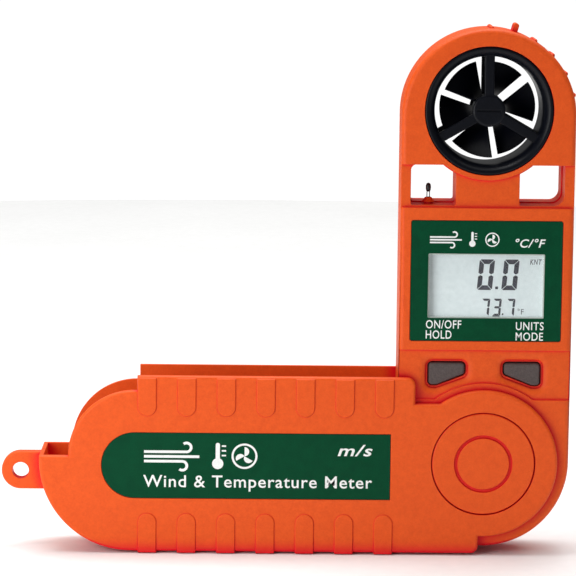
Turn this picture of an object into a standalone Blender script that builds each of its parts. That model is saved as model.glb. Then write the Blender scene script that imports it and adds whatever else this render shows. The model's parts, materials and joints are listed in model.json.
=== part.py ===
"""Pocket weather meter with a vane anemometer, a thermistor and a jackknife cover.

The meter stands at right angles to its cover, which lies along -X and rests on its long edge.
+Z is up, -Y is the side with the display, and the origin is the middle of the footprint.
"""

import math

import bmesh
import bpy
from mathutils import Matrix

MM = 0.001
ARC_STEP = 10
SMALL_ARC_STEP = 22.5
WELD = 1e-6

# Gaps
SEAM = 0.2 * MM
RUNNING_GAP = 0.3 * MM
FIT_GAP = 0.15 * MM
FILM_GAP = 0.1 * MM
BEARING_GAP = 0.1 * MM
PAST = 2 * MM

# Meter body
BODY_HALF_WIDTH = 21.3 * MM
BODY_DEPTH = 14.6 * MM
BODY_WALL = 1.8 * MM
BODY_CHAMFER = 0.9 * MM
DOME_RISE = 85.9 * MM
CAVITY_SIDE_WALL = 4.4 * MM
LAND_MARGIN = 1.5 * MM
BUTTON_ZONE_BOTTOM = 15.8 * MM
BUTTON_ZONE_HEIGHT = 12.4 * MM
BUTTON_ZONE_DEPTH = 0.7 * MM
SCOOP_DEPTH = 1.0 * MM
SCOOP_MARGIN = 1.5 * MM

# Window zone between the display and the fan
WINDOW_TOP_BELOW_DOME = 11.9 * MM
WINDOW_ZONE_HEIGHT = 10.6 * MM
WINDOW_ZONE_DEPTH = 0.9 * MM
WINDOW_SILL = 0.9 * MM
WINDOW_PILLAR = 2.8 * MM
NECK_HALF_WIDTH = 7.8 * MM
LEFT_WINDOW_CORNERS = (0.7 * MM, 0.5 * MM, 1.1 * MM, 1.5 * MM)
RIGHT_WINDOW_CORNERS = (0.5 * MM, 2.5 * MM, 0.6 * MM, 0.5 * MM)
BOSS_LEDGE = 0.2 * MM

# Grip ridges and thumb catch on the dome
RIDGE_ANGLES = (14, 29, 44, 59, 89)
RIDGE_HEIGHT = 0.6 * MM
RIDGE_HALF_WIDTH = 0.7 * MM
RIDGE_HALF_LENGTH = 4.6 * MM
CATCH_ANGLE = 74
CATCH_HEIGHT = 2.2 * MM

# Pivot
BOSS_WALL = 1.55 * MM
BOSS_GAP = 0.2 * MM
BOSS_SET_BACK = 0.1 * MM
GROOVE_RADIUS = 6.8 * MM
GROOVE_WIDTH = 0.8 * MM
GROOVE_DEPTH = 0.6 * MM

# Cover
COVER_WALL = 1.6 * MM
SPINE_WALL = 1.1 * MM
COVER_CHAMFER = 0.6 * MM
COVER_EDGE_RISE = 0.1 * MM
END_SLACK = 1.2 * MM
LOBE_WALL = 5.5 * MM
SHOULDER_OVER_BODY = 4.3 * MM
SHOULDER_BELOW_LOBE = 3.5 * MM
SPINE_END_X = 0.9 * MM
SPINE_CORNER = 1.8 * MM
CUTOUT_RADIUS = 16.5 * MM
CUTOUT_RISE = 1.2 * MM
CUTOUT_OFFSET = 1.0 * MM
EDGE_START_OFFSET = 1.6 * MM
RIB_COUNT = 7
RIB_WIDTH = 4.9 * MM
RIB_PITCH = 9.75 * MM
RIB_LENGTH = 10.0 * MM
RIB_HEIGHT = 0.3 * MM
LOOP_RADIUS = 4.75 * MM
LOOP_HOLE_RADIUS = 2.05 * MM
LOOP_THICKNESS = 3.0 * MM
LOOP_DROP = 4.1 * MM
LOOP_REACH = 5.1 * MM

# Cover label
COVER_LABEL_HEIGHT = 16.6 * MM
COVER_LABEL_START = 22.9 * MM
COVER_LABEL_DROP = 1.0 * MM
COVER_LABEL_END_MARGIN = 15.4 * MM
LABEL_RECESS = 0.5 * MM
LABEL_THICKNESS = 0.3 * MM

# Display
LABEL_MARGIN = 2.65 * MM
LABEL_TOP_MARGIN = 3.0 * MM
LABEL_BOTTOM_MARGIN = 2.2 * MM
LABEL_CORNER = 1.2 * MM
LENS_CORNER = 0.3 * MM
APERTURE_SIDE_MARGIN = 4.2 * MM
APERTURE_TOP_MARGIN = 8.1 * MM
APERTURE_BOTTOM_MARGIN = 5.6 * MM
LENS_THICKNESS = 0.8 * MM
LCD_OVERLAP = 1.4 * MM
LCD_THICKNESS = 2.4 * MM
ZEBRA_HEIGHT = 1.6 * MM
CAVITY_TOP_MARGIN = 6.0 * MM
CAVITY_BOTTOM_MARGIN = 1.2 * MM

# Circuit board and what stands on it
BOARD_FACE = 1.0 * MM
BOARD_THICKNESS = 1.2 * MM
BOARD_MARGIN = 0.4 * MM
BOARD_CORNER = 1.0 * MM
SWITCH_SIZE = 4.0 * MM
SWITCH_HEIGHT = 1.7 * MM
CHIP_SIZE = 9.0 * MM
CHIP_HEIGHT = 1.2 * MM

# Buttons
BUTTON_SIDE_MARGIN = 7.6 * MM
BUTTON_RISE = 6.3 * MM
BUTTON_WIDTH = 8.8 * MM
BUTTON_TALL = 5.5 * MM
BUTTON_SHORT = 2.7 * MM
BUTTON_PROUD = 0.9 * MM
BUTTON_TRAVEL = 0.8 * MM
BUTTON_FLANGE = 0.7 * MM
BUTTON_STEM_RADIUS = 1.3 * MM

# Gasket between the body shells
GASKET_OFFSET = 1.3 * MM
GASKET_WIDTH = 0.9 * MM
GASKET_DEPTH = 1.1 * MM

# Body screws
SCREW_SIDE_MARGIN = 3.8 * MM
SCREW_BELOW_BUTTONS = 4.0 * MM
SCREW_BELOW_WINDOWS = 2.3 * MM
SCREW_BESIDE_THERMISTOR = 3.8 * MM
SCREW_HEAD_RADIUS = 1.45 * MM
SCREW_HEAD_HEIGHT = 1.1 * MM
SCREW_SHANK_RADIUS = 0.7 * MM
SCREW_SINK = 0.3 * MM
SCREW_BITE = 4.0 * MM

# Battery
CELL_RADIUS = 10.0 * MM
CELL_THICKNESS = 3.2 * MM
CELL_END_GAP = 0.5 * MM
CELL_RIM = 0.4 * MM
LEAF_HALF_LENGTH = 5.5 * MM
LEAF_HALF_WIDTH = 2.0 * MM
LEAF_CORNER = 1.2 * MM
STRIP_ANGLES = (60, 120)
POCKET_GAP = 0.35 * MM
POCKET_DEPTH_BELOW_CELL = 0.7 * MM
CONTACT_THICKNESS = 0.25 * MM
CAP_LEDGE = 0.65 * MM
CAP_EDGE = 0.3 * MM
CAP_FLANGE = 1.4 * MM
CAP_PLUG = 1.7 * MM
CAP_SLOT_LENGTH = 14.0 * MM
CAP_SLOT_WIDTH = 1.8 * MM
CAP_SLOT_DEPTH = 0.9 * MM
CAP_RING_SECTION = 0.4 * MM

# Fan module
FAN_ABOVE_DOME = 1.3 * MM
FAN_RADIUS = 15.75 * MM
FAN_BOSS_WALL = 1.2 * MM
DUCT_WALL = 2.55 * MM
DUCT_FLARE = 1.2 * MM
DUCT_LIP = 0.5 * MM
SPOKE_ANGLES = (90, 210, 330)
SPOKE_WIDTH = 2.4 * MM
SPIDER_DEPTH = 1.8 * MM
SPIDER_SET_BACK = 1.4 * MM
SPIDER_HUB_RADIUS = 4.0 * MM
BRIDGE_RING_WALL = 1.2 * MM
ROTOR_TIP_GAP = 1.4 * MM
ROTOR_HUB_RADIUS = 3.6 * MM
ROTOR_FRONT_GAP = 1.0 * MM
ROTOR_BACK_GAP = 2.4 * MM
BLADE_COUNT = 6
BLADE_SWEEP = 46
BLADE_FIRST_ANGLE = 10
BLADE_END_MARGIN = 0.5 * MM
BLADE_THICKNESS = 0.6 * MM
SHAFT_RADIUS = 0.5 * MM
JEWEL_RADIUS = 1.3 * MM
JEWEL_THICKNESS = 1.0 * MM
MAGNET_RADIUS = 2.4 * MM
MAGNET_THICKNESS = 1.2 * MM

# Sensors and their leads
THERMISTOR_FROM_PILLAR = 4.2 * MM
THERMISTOR_Y = -1.6 * MM
BEAD_RADIUS = 0.65 * MM
BEAD_LENGTH = 2.2 * MM
BEAD_RISE = 3.6 * MM
LEAD_RADIUS = 0.15 * MM
LEAD_SPREAD = 0.32 * MM
GROMMET_RADIUS = 1.7 * MM
GROMMET_HEIGHT = 1.1 * MM
GROMMET_LIP = 0.2 * MM
GROMMET_STEM_RADIUS = 1.1 * MM
PICKUP_HALF_WIDTH = 1.5 * MM
PICKUP_HEIGHT = 2.6 * MM
PICKUP_HALF_DEPTH = 1.4 * MM
PICKUP_BELOW_FAN = 0.6 * MM
WIRE_RADIUS = 0.35 * MM
WIRE_CHANNEL_HALF = 0.7 * MM

# Places that follow from the sizes above
FRONT = -BODY_DEPTH / 2
BACK = BODY_DEPTH / 2
COVER_INNER = BODY_DEPTH / 2 + RUNNING_GAP
COVER_OUTER = COVER_INNER + COVER_WALL
COVER_DROP = BODY_HALF_WIDTH + RUNNING_GAP + SPINE_WALL
COVER_RISE = BODY_HALF_WIDTH + COVER_EDGE_RISE
COVER_END_X = -(DOME_RISE + END_SLACK)
LOOP_X = COVER_END_X - COVER_DROP - LOOP_REACH
BOSS_FACE = COVER_OUTER - BOSS_SET_BACK
POCKET_RADIUS = CELL_RADIUS + POCKET_GAP
CAP_RADIUS = POCKET_RADIUS + CAP_LEDGE
BOSS_RADIUS = CAP_RADIUS + FIT_GAP + BOSS_WALL
LOBE_RADIUS = BOSS_RADIUS + BOSS_GAP + LOBE_WALL
LAND_RADIUS = LOBE_RADIUS + LAND_MARGIN
SHOULDER_X = BODY_HALF_WIDTH - SHOULDER_OVER_BODY
SHOULDER_Z = LOBE_RADIUS - SHOULDER_BELOW_LOBE
CELL_BACK_Y = BOSS_FACE - CAP_FLANGE - CAP_PLUG - CELL_END_GAP
CELL_FLOOR_Y = CELL_BACK_Y - CELL_THICKNESS
WINDOW_TOP = DOME_RISE - WINDOW_TOP_BELOW_DOME
WINDOW_ZONE_BOTTOM = WINDOW_TOP - WINDOW_ZONE_HEIGHT
WINDOW_BOTTOM = WINDOW_ZONE_BOTTOM + WINDOW_SILL
BUTTON_ZONE_TOP = BUTTON_ZONE_BOTTOM + BUTTON_ZONE_HEIGHT
BUTTON_X = BODY_HALF_WIDTH - BUTTON_SIDE_MARGIN - BUTTON_WIDTH / 2
BUTTON_Z = BUTTON_ZONE_BOTTOM + BUTTON_RISE
LABEL_HALF_WIDTH = BODY_HALF_WIDTH - LABEL_MARGIN
LABEL_TOP = WINDOW_ZONE_BOTTOM - LABEL_TOP_MARGIN
LABEL_BOTTOM = BUTTON_ZONE_TOP + LABEL_BOTTOM_MARGIN
APERTURE_HALF_WIDTH = LABEL_HALF_WIDTH - APERTURE_SIDE_MARGIN
APERTURE_TOP = LABEL_TOP - APERTURE_TOP_MARGIN
APERTURE_BOTTOM = LABEL_BOTTOM + APERTURE_BOTTOM_MARGIN
CAVITY_HALF_WIDTH = BODY_HALF_WIDTH - CAVITY_SIDE_WALL
CAVITY_TOP = WINDOW_ZONE_BOTTOM - CAVITY_TOP_MARGIN
CAVITY_BOTTOM = BUTTON_ZONE_BOTTOM + CAVITY_BOTTOM_MARGIN
INNER_FRONT = FRONT + BODY_WALL
INNER_BACK = BACK - BODY_WALL
LCD_FRONT = INNER_FRONT + 2 * FILM_GAP
LCD_BACK = LCD_FRONT + LCD_THICKNESS
FAN_Z = DOME_RISE + FAN_ABOVE_DOME
DUCT_INNER = FAN_RADIUS - DUCT_WALL
ROTOR_RADIUS = DUCT_INNER - ROTOR_TIP_GAP
FAN_BOSS_RADIUS = FAN_RADIUS + FAN_BOSS_WALL
SCREW_LOW_X = BODY_HALF_WIDTH - SCREW_SIDE_MARGIN
SCREW_LOW_Z = BUTTON_ZONE_BOTTOM - SCREW_BELOW_BUTTONS
THERMISTOR_X = BODY_HALF_WIDTH - WINDOW_PILLAR - THERMISTOR_FROM_PILLAR
SCREW_HIGH_X = THERMISTOR_X - SCREW_BESIDE_THERMISTOR
SCREW_HIGH_Z = WINDOW_ZONE_BOTTOM - SCREW_BELOW_WINDOWS
SCOOP_FLOOR = FRONT + BUTTON_ZONE_DEPTH + SCOOP_DEPTH
SCOOP_WALL_BACK = SCOOP_FLOOR + BODY_WALL
PICKUP_TOP = FAN_Z - FAN_RADIUS - PICKUP_BELOW_FAN
PIVOT_X = -(LOOP_X - LOOP_RADIUS + BODY_HALF_WIDTH) / 2
PIVOT_Z = COVER_DROP + RIB_HEIGHT


# Materials


def plastic(name, colour, roughness, metallic=0.0):
    """A Principled material of one colour."""
    material = bpy.data.materials.new(name)
    material.use_nodes = True
    shader = material.node_tree.nodes["Principled BSDF"]
    shader.inputs["Base Color"].default_value = (*colour, 1.0)
    shader.inputs["Roughness"].default_value = roughness
    shader.inputs["Metallic"].default_value = metallic
    material.diffuse_color = (*colour, 1.0)
    return material


def make_materials():
    return {
        "orange": plastic("orange_abs", (0.83, 0.13, 0.025), 0.5),
        "black": plastic("black_abs", (0.012, 0.012, 0.014), 0.35),
        "green": plastic("green_film", (0.0, 0.08, 0.03), 0.4),
        "grey": plastic("grey_rubber", (0.17, 0.16, 0.15), 0.8),
        "lens": plastic("clear_acrylic", (0.8, 0.85, 0.82), 0.1),
        "lcd": plastic("lcd_glass", (0.55, 0.6, 0.56), 0.2),
        "board": plastic("circuit_board", (0.01, 0.09, 0.03), 0.5),
        "silicone": plastic("silicone", (0.03, 0.03, 0.03), 0.7),
        "steel": plastic("steel", (0.6, 0.6, 0.6), 0.3, 1.0),
        "jewel": plastic("ruby", (0.4, 0.01, 0.03), 0.1),
        "copper": plastic("copper_wire", (0.5, 0.2, 0.1), 0.4, 1.0),
    }


# Drawing and shaping


def arc(centre_x, centre_z, radius, start, end, step=ARC_STEP):
    """Points along an arc in the X-Z plane, from start to end in degrees, both ends included."""
    count = max(2, math.ceil(abs(end - start) / step))
    angles = [math.radians(start + (end - start) * i / count) for i in range(count + 1)]
    return [(centre_x + radius * math.cos(a), centre_z + radius * math.sin(a)) for a in angles]


def circle(centre_x, centre_z, radius, step=ARC_STEP):
    return arc(centre_x, centre_z, radius, 0, 360, step)[:-1]


def rounded_box(left, right, bottom, top, corners):
    """A rectangle with corner radii for bottom left, bottom right, top right and top left."""
    low_left, low_right, high_right, high_left = corners
    step = SMALL_ARC_STEP
    return (
        arc(left + low_left, bottom + low_left, low_left, 180, 270, step)
        + arc(right - low_right, bottom + low_right, low_right, 270, 360, step)
        + arc(right - high_right, top - high_right, high_right, 0, 90, step)
        + arc(left + high_left, top - high_left, high_left, 90, 180, step)
    )


def add_object(name, mesh, material, parent, helper=False):
    obj = bpy.data.objects.new(name, mesh)
    bpy.data.collections["cutters" if helper else "weather_meter"].objects.link(obj)
    obj.hide_render = helper
    obj.display_type = "WIRE" if helper else "TEXTURED"
    obj.parent = parent
    if material:
        mesh.materials.append(material)
    mesh.shade_smooth()
    mesh.set_sharp_from_angle(angle=math.radians(30))
    return obj


def prism(name, outlines, front, back, material=None, parent=None, helper=False):
    """A plate between y=front and y=back. The first outline is its rim and the others are holes."""
    curve = bpy.data.curves.new(name, "CURVE")
    curve.dimensions = "2D"
    curve.fill_mode = "BOTH"
    curve.extrude = (back - front) / 2
    for outline in outlines:
        spline = curve.splines.new("POLY")
        spline.points.add(len(outline) - 1)
        for point, (x, z) in zip(spline.points, outline):
            point.co = (x, z, 0, 1)
        spline.use_cyclic_u = True
    drawing = bpy.data.objects.new(name + "_drawing", curve)
    bpy.context.scene.collection.objects.link(drawing)
    graph = bpy.context.evaluated_depsgraph_get()
    mesh = bpy.data.meshes.new_from_object(drawing.evaluated_get(graph))
    bpy.data.objects.remove(drawing)
    upright = Matrix.Translation((0, (front + back) / 2, 0)) @ Matrix.Rotation(math.pi / 2, 4, "X")
    mesh.transform(upright)
    tidy(mesh)
    mesh.materials.clear()
    return add_object(name, mesh, material, parent, helper)


def tidy(mesh):
    """Welds a mesh and joins its coplanar faces."""
    shape = bmesh.new()
    shape.from_mesh(mesh)
    bmesh.ops.remove_doubles(shape, verts=shape.verts, dist=WELD)
    bmesh.ops.dissolve_limit(shape, angle_limit=math.radians(0.5), verts=shape.verts, edges=shape.edges)
    bmesh.ops.recalc_face_normals(shape, faces=shape.faces)
    shape.to_mesh(mesh)
    shape.free()


def box(name, low, high, material=None, parent=None, helper=False):
    """A box between two corners."""
    shape = bmesh.new()
    bmesh.ops.create_cube(shape, size=1)
    size = [h - l for l, h in zip(low, high)]
    centre = [(h + l) / 2 for l, h in zip(low, high)]
    bmesh.ops.scale(shape, vec=size, verts=shape.verts)
    bmesh.ops.translate(shape, vec=centre, verts=shape.verts)
    mesh = bpy.data.meshes.new(name)
    shape.to_mesh(mesh)
    shape.free()
    return add_object(name, mesh, material, parent, helper)


def rod(name, radius, start, end, material=None, parent=None, helper=False, sides=16):
    """A cylinder between two points on a line along one axis."""
    axis = [e - s for s, e in zip(start, end)]
    length = max(abs(a) for a in axis)
    turn = Matrix.Identity(4)
    if abs(axis[1]) == length:
        turn = Matrix.Rotation(math.pi / 2, 4, "X")
    elif abs(axis[0]) == length:
        turn = Matrix.Rotation(math.pi / 2, 4, "Y")
    centre = [(e + s) / 2 for s, e in zip(start, end)]
    shape = bmesh.new()
    place = Matrix.Translation(centre) @ turn
    bmesh.ops.create_cone(
        shape, cap_ends=True, segments=sides, radius1=radius, radius2=radius, depth=length, matrix=place
    )
    mesh = bpy.data.meshes.new(name)
    shape.to_mesh(mesh)
    shape.free()
    return add_object(name, mesh, material, parent, helper)


def turned(name, profile, material, parent, steps=36, closed=False, tilt=0.0, helper=False):
    """A solid of revolution from (radius, height) pairs down its outer side. Tilt turns it about X."""
    mesh = bpy.data.meshes.new(name)
    points = [(radius, 0, height) for radius, height in profile]
    edges = [(i, i + 1) for i in range(len(points) - 1)]
    if closed:
        edges.append((len(points) - 1, 0))
    mesh.from_pydata(points, edges, [])
    obj = add_object(name, mesh, material, parent, helper)
    obj.rotation_euler.x = math.radians(tilt)
    screw = obj.modifiers.new("turn", "SCREW")
    screw.steps = steps
    screw.render_steps = steps
    screw.use_merge_vertices = True
    screw.merge_threshold = WELD
    return obj


def tube(name, points, radius, material, parent):
    """A wire of round section through the points, made a closed mesh."""
    curve = bpy.data.curves.new(name, "CURVE")
    curve.dimensions = "3D"
    curve.bevel_depth = radius
    curve.bevel_resolution = 1
    curve.use_fill_caps = True
    spline = curve.splines.new("POLY")
    spline.points.add(len(points) - 1)
    for point, place in zip(spline.points, points):
        point.co = (*place, 1)
    drawing = bpy.data.objects.new(name + "_drawing", curve)
    bpy.context.scene.collection.objects.link(drawing)
    graph = bpy.context.evaluated_depsgraph_get()
    mesh = bpy.data.meshes.new_from_object(drawing.evaluated_get(graph))
    bpy.data.objects.remove(drawing)
    tidy(mesh)
    mesh.materials.clear()
    return add_object(name, mesh, material, parent)


def combine(target, operand, operation="DIFFERENCE"):
    modifier = target.modifiers.new(operand.name, "BOOLEAN")
    modifier.operation = operation
    modifier.object = operand


def merged_helper(name, pieces, parent):
    """Several helpers made one mesh, for one Boolean."""
    shape = bmesh.new()
    for piece in pieces:
        shape.from_mesh(piece.data)
        mesh = piece.data
        bpy.data.objects.remove(piece)
        bpy.data.meshes.remove(mesh)
    mesh = bpy.data.meshes.new(name)
    shape.to_mesh(mesh)
    shape.free()
    return add_object(name, mesh, None, parent, helper=True)


def chamfer(obj, width):
    bevel = obj.modifiers.new("chamfer", "BEVEL")
    bevel.width = width
    bevel.segments = 1
    bevel.limit_method = "ANGLE"
    bevel.angle_limit = math.radians(50)


# Outlines


def body_outline(half_width=BODY_HALF_WIDTH):
    """Round foot about the pivot, straight sides and a dome."""
    return arc(0, 0, half_width, 180, 360) + arc(0, DOME_RISE, half_width, 0, 180)


def cover_outline():
    """The cover seen from the front, from the end of its spine round to its pivot lobe."""
    edge_start = COVER_END_X + EDGE_START_OFFSET
    cutout_x = COVER_END_X + CUTOUT_OFFSET
    end_angle = 180 - math.degrees(math.asin(CUTOUT_RISE / COVER_DROP))
    lobe_start = 180 - math.degrees(math.asin(SHOULDER_Z / LOBE_RADIUS))
    lobe_end = -90 - math.degrees(math.asin(SPINE_END_X / LOBE_RADIUS))
    radius = min(SPINE_CORNER, COVER_DROP - LOBE_RADIUS)
    corner = arc(-SPINE_END_X - radius, radius - COVER_DROP, radius, 0, -90, SMALL_ARC_STEP)
    end = arc(COVER_END_X, 0, COVER_DROP, -90, end_angle - 360)
    cutout = arc(cutout_x, CUTOUT_RISE, CUTOUT_RADIUS, 180, 90)
    lobe = arc(0, 0, LOBE_RADIUS, lobe_start, lobe_end)
    steps = [
        (edge_start, CUTOUT_RISE + CUTOUT_RADIUS),
        (edge_start, COVER_RISE),
        (-SHOULDER_X, COVER_RISE),
        (-SHOULDER_X, SHOULDER_Z),
    ]
    return corner + end + cutout + steps + lobe


def cover_hollow_outline():
    """The space inside the spine and the end wall, open above and at the pivot."""
    radius = COVER_DROP - SPINE_WALL
    far = BODY_HALF_WIDTH + PAST
    inner_end = COVER_END_X - radius
    mouth = [(far, far + PAST), (inner_end, far + PAST)]
    return mouth + arc(COVER_END_X, 0, radius, 180, 270) + [(far, -radius)]


def button_outline(grow=0.0, side=-1):
    """A key with one tall outer side and a foot that slopes up towards the middle of the meter."""
    half = BUTTON_WIDTH / 2 + grow
    top = BUTTON_TALL / 2 + grow
    short = BUTTON_TALL / 2 - BUTTON_SHORT - grow
    corner = BUTTON_TALL / 10 + grow
    points = [
        (-half, -top + corner),
        (-half + corner, -top),
        (-half + 2 * corner, -top + corner / 4),
        (half - corner / 2, short),
        (half, short + corner),
        (half, top - corner),
        (half - corner, top),
        (-half + corner, top),
        (-half, top - corner),
    ]
    if side > 0:
        points = [(-x, z) for x, z in reversed(points)]
    return [(x + side * BUTTON_X, z + BUTTON_Z) for x, z in points]


def gasket_outline(offset):
    half = CAVITY_HALF_WIDTH + offset
    radius = offset
    return rounded_box(-half, half, CAVITY_BOTTOM - offset, CAVITY_TOP + offset, (radius,) * 4)


# Cutters shared by both body shells


def window_cutter(name, side, parent):
    """One of the two air windows, with the fan's boss left standing where it crosses the corner."""
    inner = NECK_HALF_WIDTH
    outer = BODY_HALF_WIDTH - WINDOW_PILLAR
    low, high = (-outer, -inner) if side < 0 else (inner, outer)
    corners = LEFT_WINDOW_CORNERS if side < 0 else RIGHT_WINDOW_CORNERS
    outline = rounded_box(low, high, WINDOW_BOTTOM, WINDOW_TOP, corners)
    window = prism(name, [outline], FRONT - PAST, BACK + PAST, parent=parent, helper=True)
    boss = rod(
        name + "_boss",
        FAN_BOSS_RADIUS + BOSS_LEDGE,
        (0, FRONT - 2 * PAST, FAN_Z),
        (0, BACK + 2 * PAST, FAN_Z),
        parent=parent,
        helper=True,
        sides=36,
    )
    combine(window, boss)
    return window


def window_zone_cutter(name, outer_face, parent):
    """The shallow step across the body around the windows, on the front or the back face."""
    inward = 1 if outer_face < 0 else -1
    floor = outer_face + inward * WINDOW_ZONE_DEPTH
    front, back = sorted((outer_face - inward * PAST, floor))
    far = BODY_HALF_WIDTH + PAST
    zone = box(name, (-far, front, WINDOW_ZONE_BOTTOM), (far, back, WINDOW_TOP), parent=parent, helper=True)
    boss = rod(
        name + "_boss",
        FAN_BOSS_RADIUS,
        (0, front - PAST, FAN_Z),
        (0, back + PAST, FAN_Z),
        parent=parent,
        helper=True,
        sides=36,
    )
    combine(zone, boss)
    return zone


def ridge_bars(parent):
    """The low ridges round the dome that a thumb pushes on."""
    bars = []
    for angle in RIDGE_ANGLES:
        outline = circle(BODY_HALF_WIDTH, 0, RIDGE_HEIGHT, SMALL_ARC_STEP)
        bar = prism(f"ridge_{angle}", [outline], -RIDGE_HALF_LENGTH, RIDGE_HALF_LENGTH, helper=True)
        turn = Matrix.Rotation(-math.radians(angle), 4, "Y")
        bar.data.transform(Matrix.Translation((0, 0, DOME_RISE)) @ turn)
        bars.append(bar)
    return merged_helper("ridge_bars", bars, parent)


def body_blank(name, material, parent):
    blank = prism(name, [body_outline()], FRONT, BACK, material, parent)
    chamfer(blank, BODY_CHAMFER)
    return blank


def screw_places():
    """X, Z of the four body screws."""
    low = [(-SCREW_LOW_X, SCREW_LOW_Z), (SCREW_LOW_X, SCREW_LOW_Z)]
    high = [(-SCREW_HIGH_X, SCREW_HIGH_Z), (SCREW_HIGH_X, SCREW_HIGH_Z)]
    return low + high


def pickup_space(parent):
    """The nest for the pickup coil, just under the fan, and the wire's way down to the board."""
    half = PICKUP_HALF_WIDTH + FIT_GAP
    nest = box(
        "pickup_nest",
        (-half, -PICKUP_HALF_DEPTH - FIT_GAP, PICKUP_TOP - PICKUP_HEIGHT - FIT_GAP),
        (half, PICKUP_HALF_DEPTH + FIT_GAP + 2 * WIRE_CHANNEL_HALF, PICKUP_TOP + FIT_GAP),
        parent=parent,
        helper=True,
    )
    wire_y = PICKUP_HALF_DEPTH + FIT_GAP + WIRE_CHANNEL_HALF
    channel = box(
        "pickup_channel",
        (-WIRE_CHANNEL_HALF, wire_y - WIRE_CHANNEL_HALF, CAVITY_TOP - PAST),
        (WIRE_CHANNEL_HALF, wire_y + WIRE_CHANNEL_HALF, PICKUP_TOP - PICKUP_HEIGHT + FIT_GAP),
        parent=parent,
        helper=True,
    )
    combine(nest, channel, "UNION")
    return nest


def cut_both_shells(shell, name, outer_face, parent):
    """The cuts that the front and the back shell have in common."""
    fan_seat = rod(
        name + "_fan_seat",
        FAN_RADIUS + FIT_GAP,
        (0, FRONT - PAST, FAN_Z),
        (0, BACK + PAST, FAN_Z),
        parent=parent,
        helper=True,
        sides=36,
    )
    combine(shell, fan_seat)
    for side, word in ((-1, "left"), (1, "right")):
        combine(shell, window_cutter(f"{name}_window_{word}", side, parent))
    combine(shell, window_zone_cutter(name + "_window_zone", outer_face, parent))
    half = GASKET_DEPTH / 2 + FILM_GAP
    groove = prism(
        name + "_gasket_groove",
        [
            gasket_outline(GASKET_OFFSET + GASKET_WIDTH / 2 + FILM_GAP),
            gasket_outline(GASKET_OFFSET - GASKET_WIDTH / 2 - FILM_GAP),
        ],
        -half,
        half,
        parent=parent,
        helper=True,
    )
    combine(shell, groove)


# Body shells


def make_front_shell(material, parent):
    shell = body_blank("front_shell", material, parent)
    combine(shell, ridge_bars(parent), "UNION")
    add_thumb_catch(shell, parent)
    start, end = (0, -BOSS_FACE, 0), (0, FRONT + PAST, 0)
    boss = rod("front_boss", BOSS_RADIUS, start, end, parent=parent, helper=True, sides=36)
    combine(shell, boss, "UNION")
    far = BODY_HALF_WIDTH + DOME_RISE + 2 * PAST
    low, high = (-far, -SEAM / 2, -far), (far, BACK + PAST, far)
    back_half = box("front_seam", low, high, parent=parent, helper=True)
    combine(shell, back_half)
    cut_both_shells(shell, "front", FRONT, parent)
    combine(shell, boss_groove_cutter(parent))
    cut_display_openings(shell, parent)
    cut_button_zone(shell, parent)
    combine(shell, pickup_space(parent))
    grommet_hole = rod(
        "grommet_hole",
        GROMMET_STEM_RADIUS + FIT_GAP,
        (-THERMISTOR_X, THERMISTOR_Y, CAVITY_TOP - PAST),
        (-THERMISTOR_X, THERMISTOR_Y, WINDOW_BOTTOM + PAST),
        parent=parent,
        helper=True,
    )
    combine(shell, grommet_hole)
    pilots = []
    for i, (x, z) in enumerate(screw_places()):
        start, end = (x, -SCREW_BITE - FIT_GAP, z), (x, PAST, z)
        pilots.append(rod(f"pilot_{i}", SCREW_SHANK_RADIUS + FILM_GAP, start, end, helper=True, sides=12))
    combine(shell, merged_helper("pilots", pilots, parent))
    return shell


def add_thumb_catch(shell, parent):
    """The peg on the dome that a fingernail pulls to unfold the meter."""
    half = RIDGE_HALF_WIDTH
    root = BODY_HALF_WIDTH - PAST
    tip = BODY_HALF_WIDTH + CATCH_HEIGHT - half
    nose = arc(tip, 0, half, -45, 45, SMALL_ARC_STEP)
    outline = [(root, -half), (tip, -half)] + nose + [(tip, half), (root, half)]
    peg = prism("thumb_catch", [outline], -RIDGE_HALF_LENGTH, -SEAM, parent=parent, helper=True)
    turn = Matrix.Rotation(-math.radians(CATCH_ANGLE), 4, "Y")
    peg.data.transform(Matrix.Translation((0, 0, DOME_RISE)) @ turn)
    combine(shell, peg, "UNION")


def boss_groove_cutter(parent):
    """The ring groove in the face of the front pivot boss."""
    inner = GROOVE_RADIUS - GROOVE_WIDTH / 2
    outer = GROOVE_RADIUS + GROOVE_WIDTH / 2
    rings = [circle(0, 0, outer), circle(0, 0, inner)]
    floor = -BOSS_FACE + GROOVE_DEPTH
    return prism("boss_groove", rings, -BOSS_FACE - PAST, floor, parent=parent, helper=True)


def cut_display_openings(shell, parent):
    """The label's recess, the display aperture and the hollow behind them."""
    corners = (LABEL_CORNER,) * 4
    label = rounded_box(-LABEL_HALF_WIDTH, LABEL_HALF_WIDTH, LABEL_BOTTOM, LABEL_TOP, corners)
    floor = FRONT + LABEL_RECESS
    combine(shell, prism("label_recess", [label], FRONT - PAST, floor, parent=parent, helper=True))
    aperture = box(
        "display_aperture",
        (-APERTURE_HALF_WIDTH, FRONT - PAST, APERTURE_BOTTOM),
        (APERTURE_HALF_WIDTH, 0, APERTURE_TOP),
        parent=parent,
        helper=True,
    )
    combine(shell, aperture)
    upper = box(
        "front_cavity",
        (-CAVITY_HALF_WIDTH, INNER_FRONT, BUTTON_ZONE_TOP),
        (CAVITY_HALF_WIDTH, PAST, CAVITY_TOP),
        parent=parent,
        helper=True,
    )
    combine(shell, upper)
    lower = box(
        "button_cavity",
        (-CAVITY_HALF_WIDTH, SCOOP_WALL_BACK, CAVITY_BOTTOM),
        (CAVITY_HALF_WIDTH, PAST, BUTTON_ZONE_TOP + FILM_GAP),
        parent=parent,
        helper=True,
    )
    combine(shell, lower)


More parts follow.
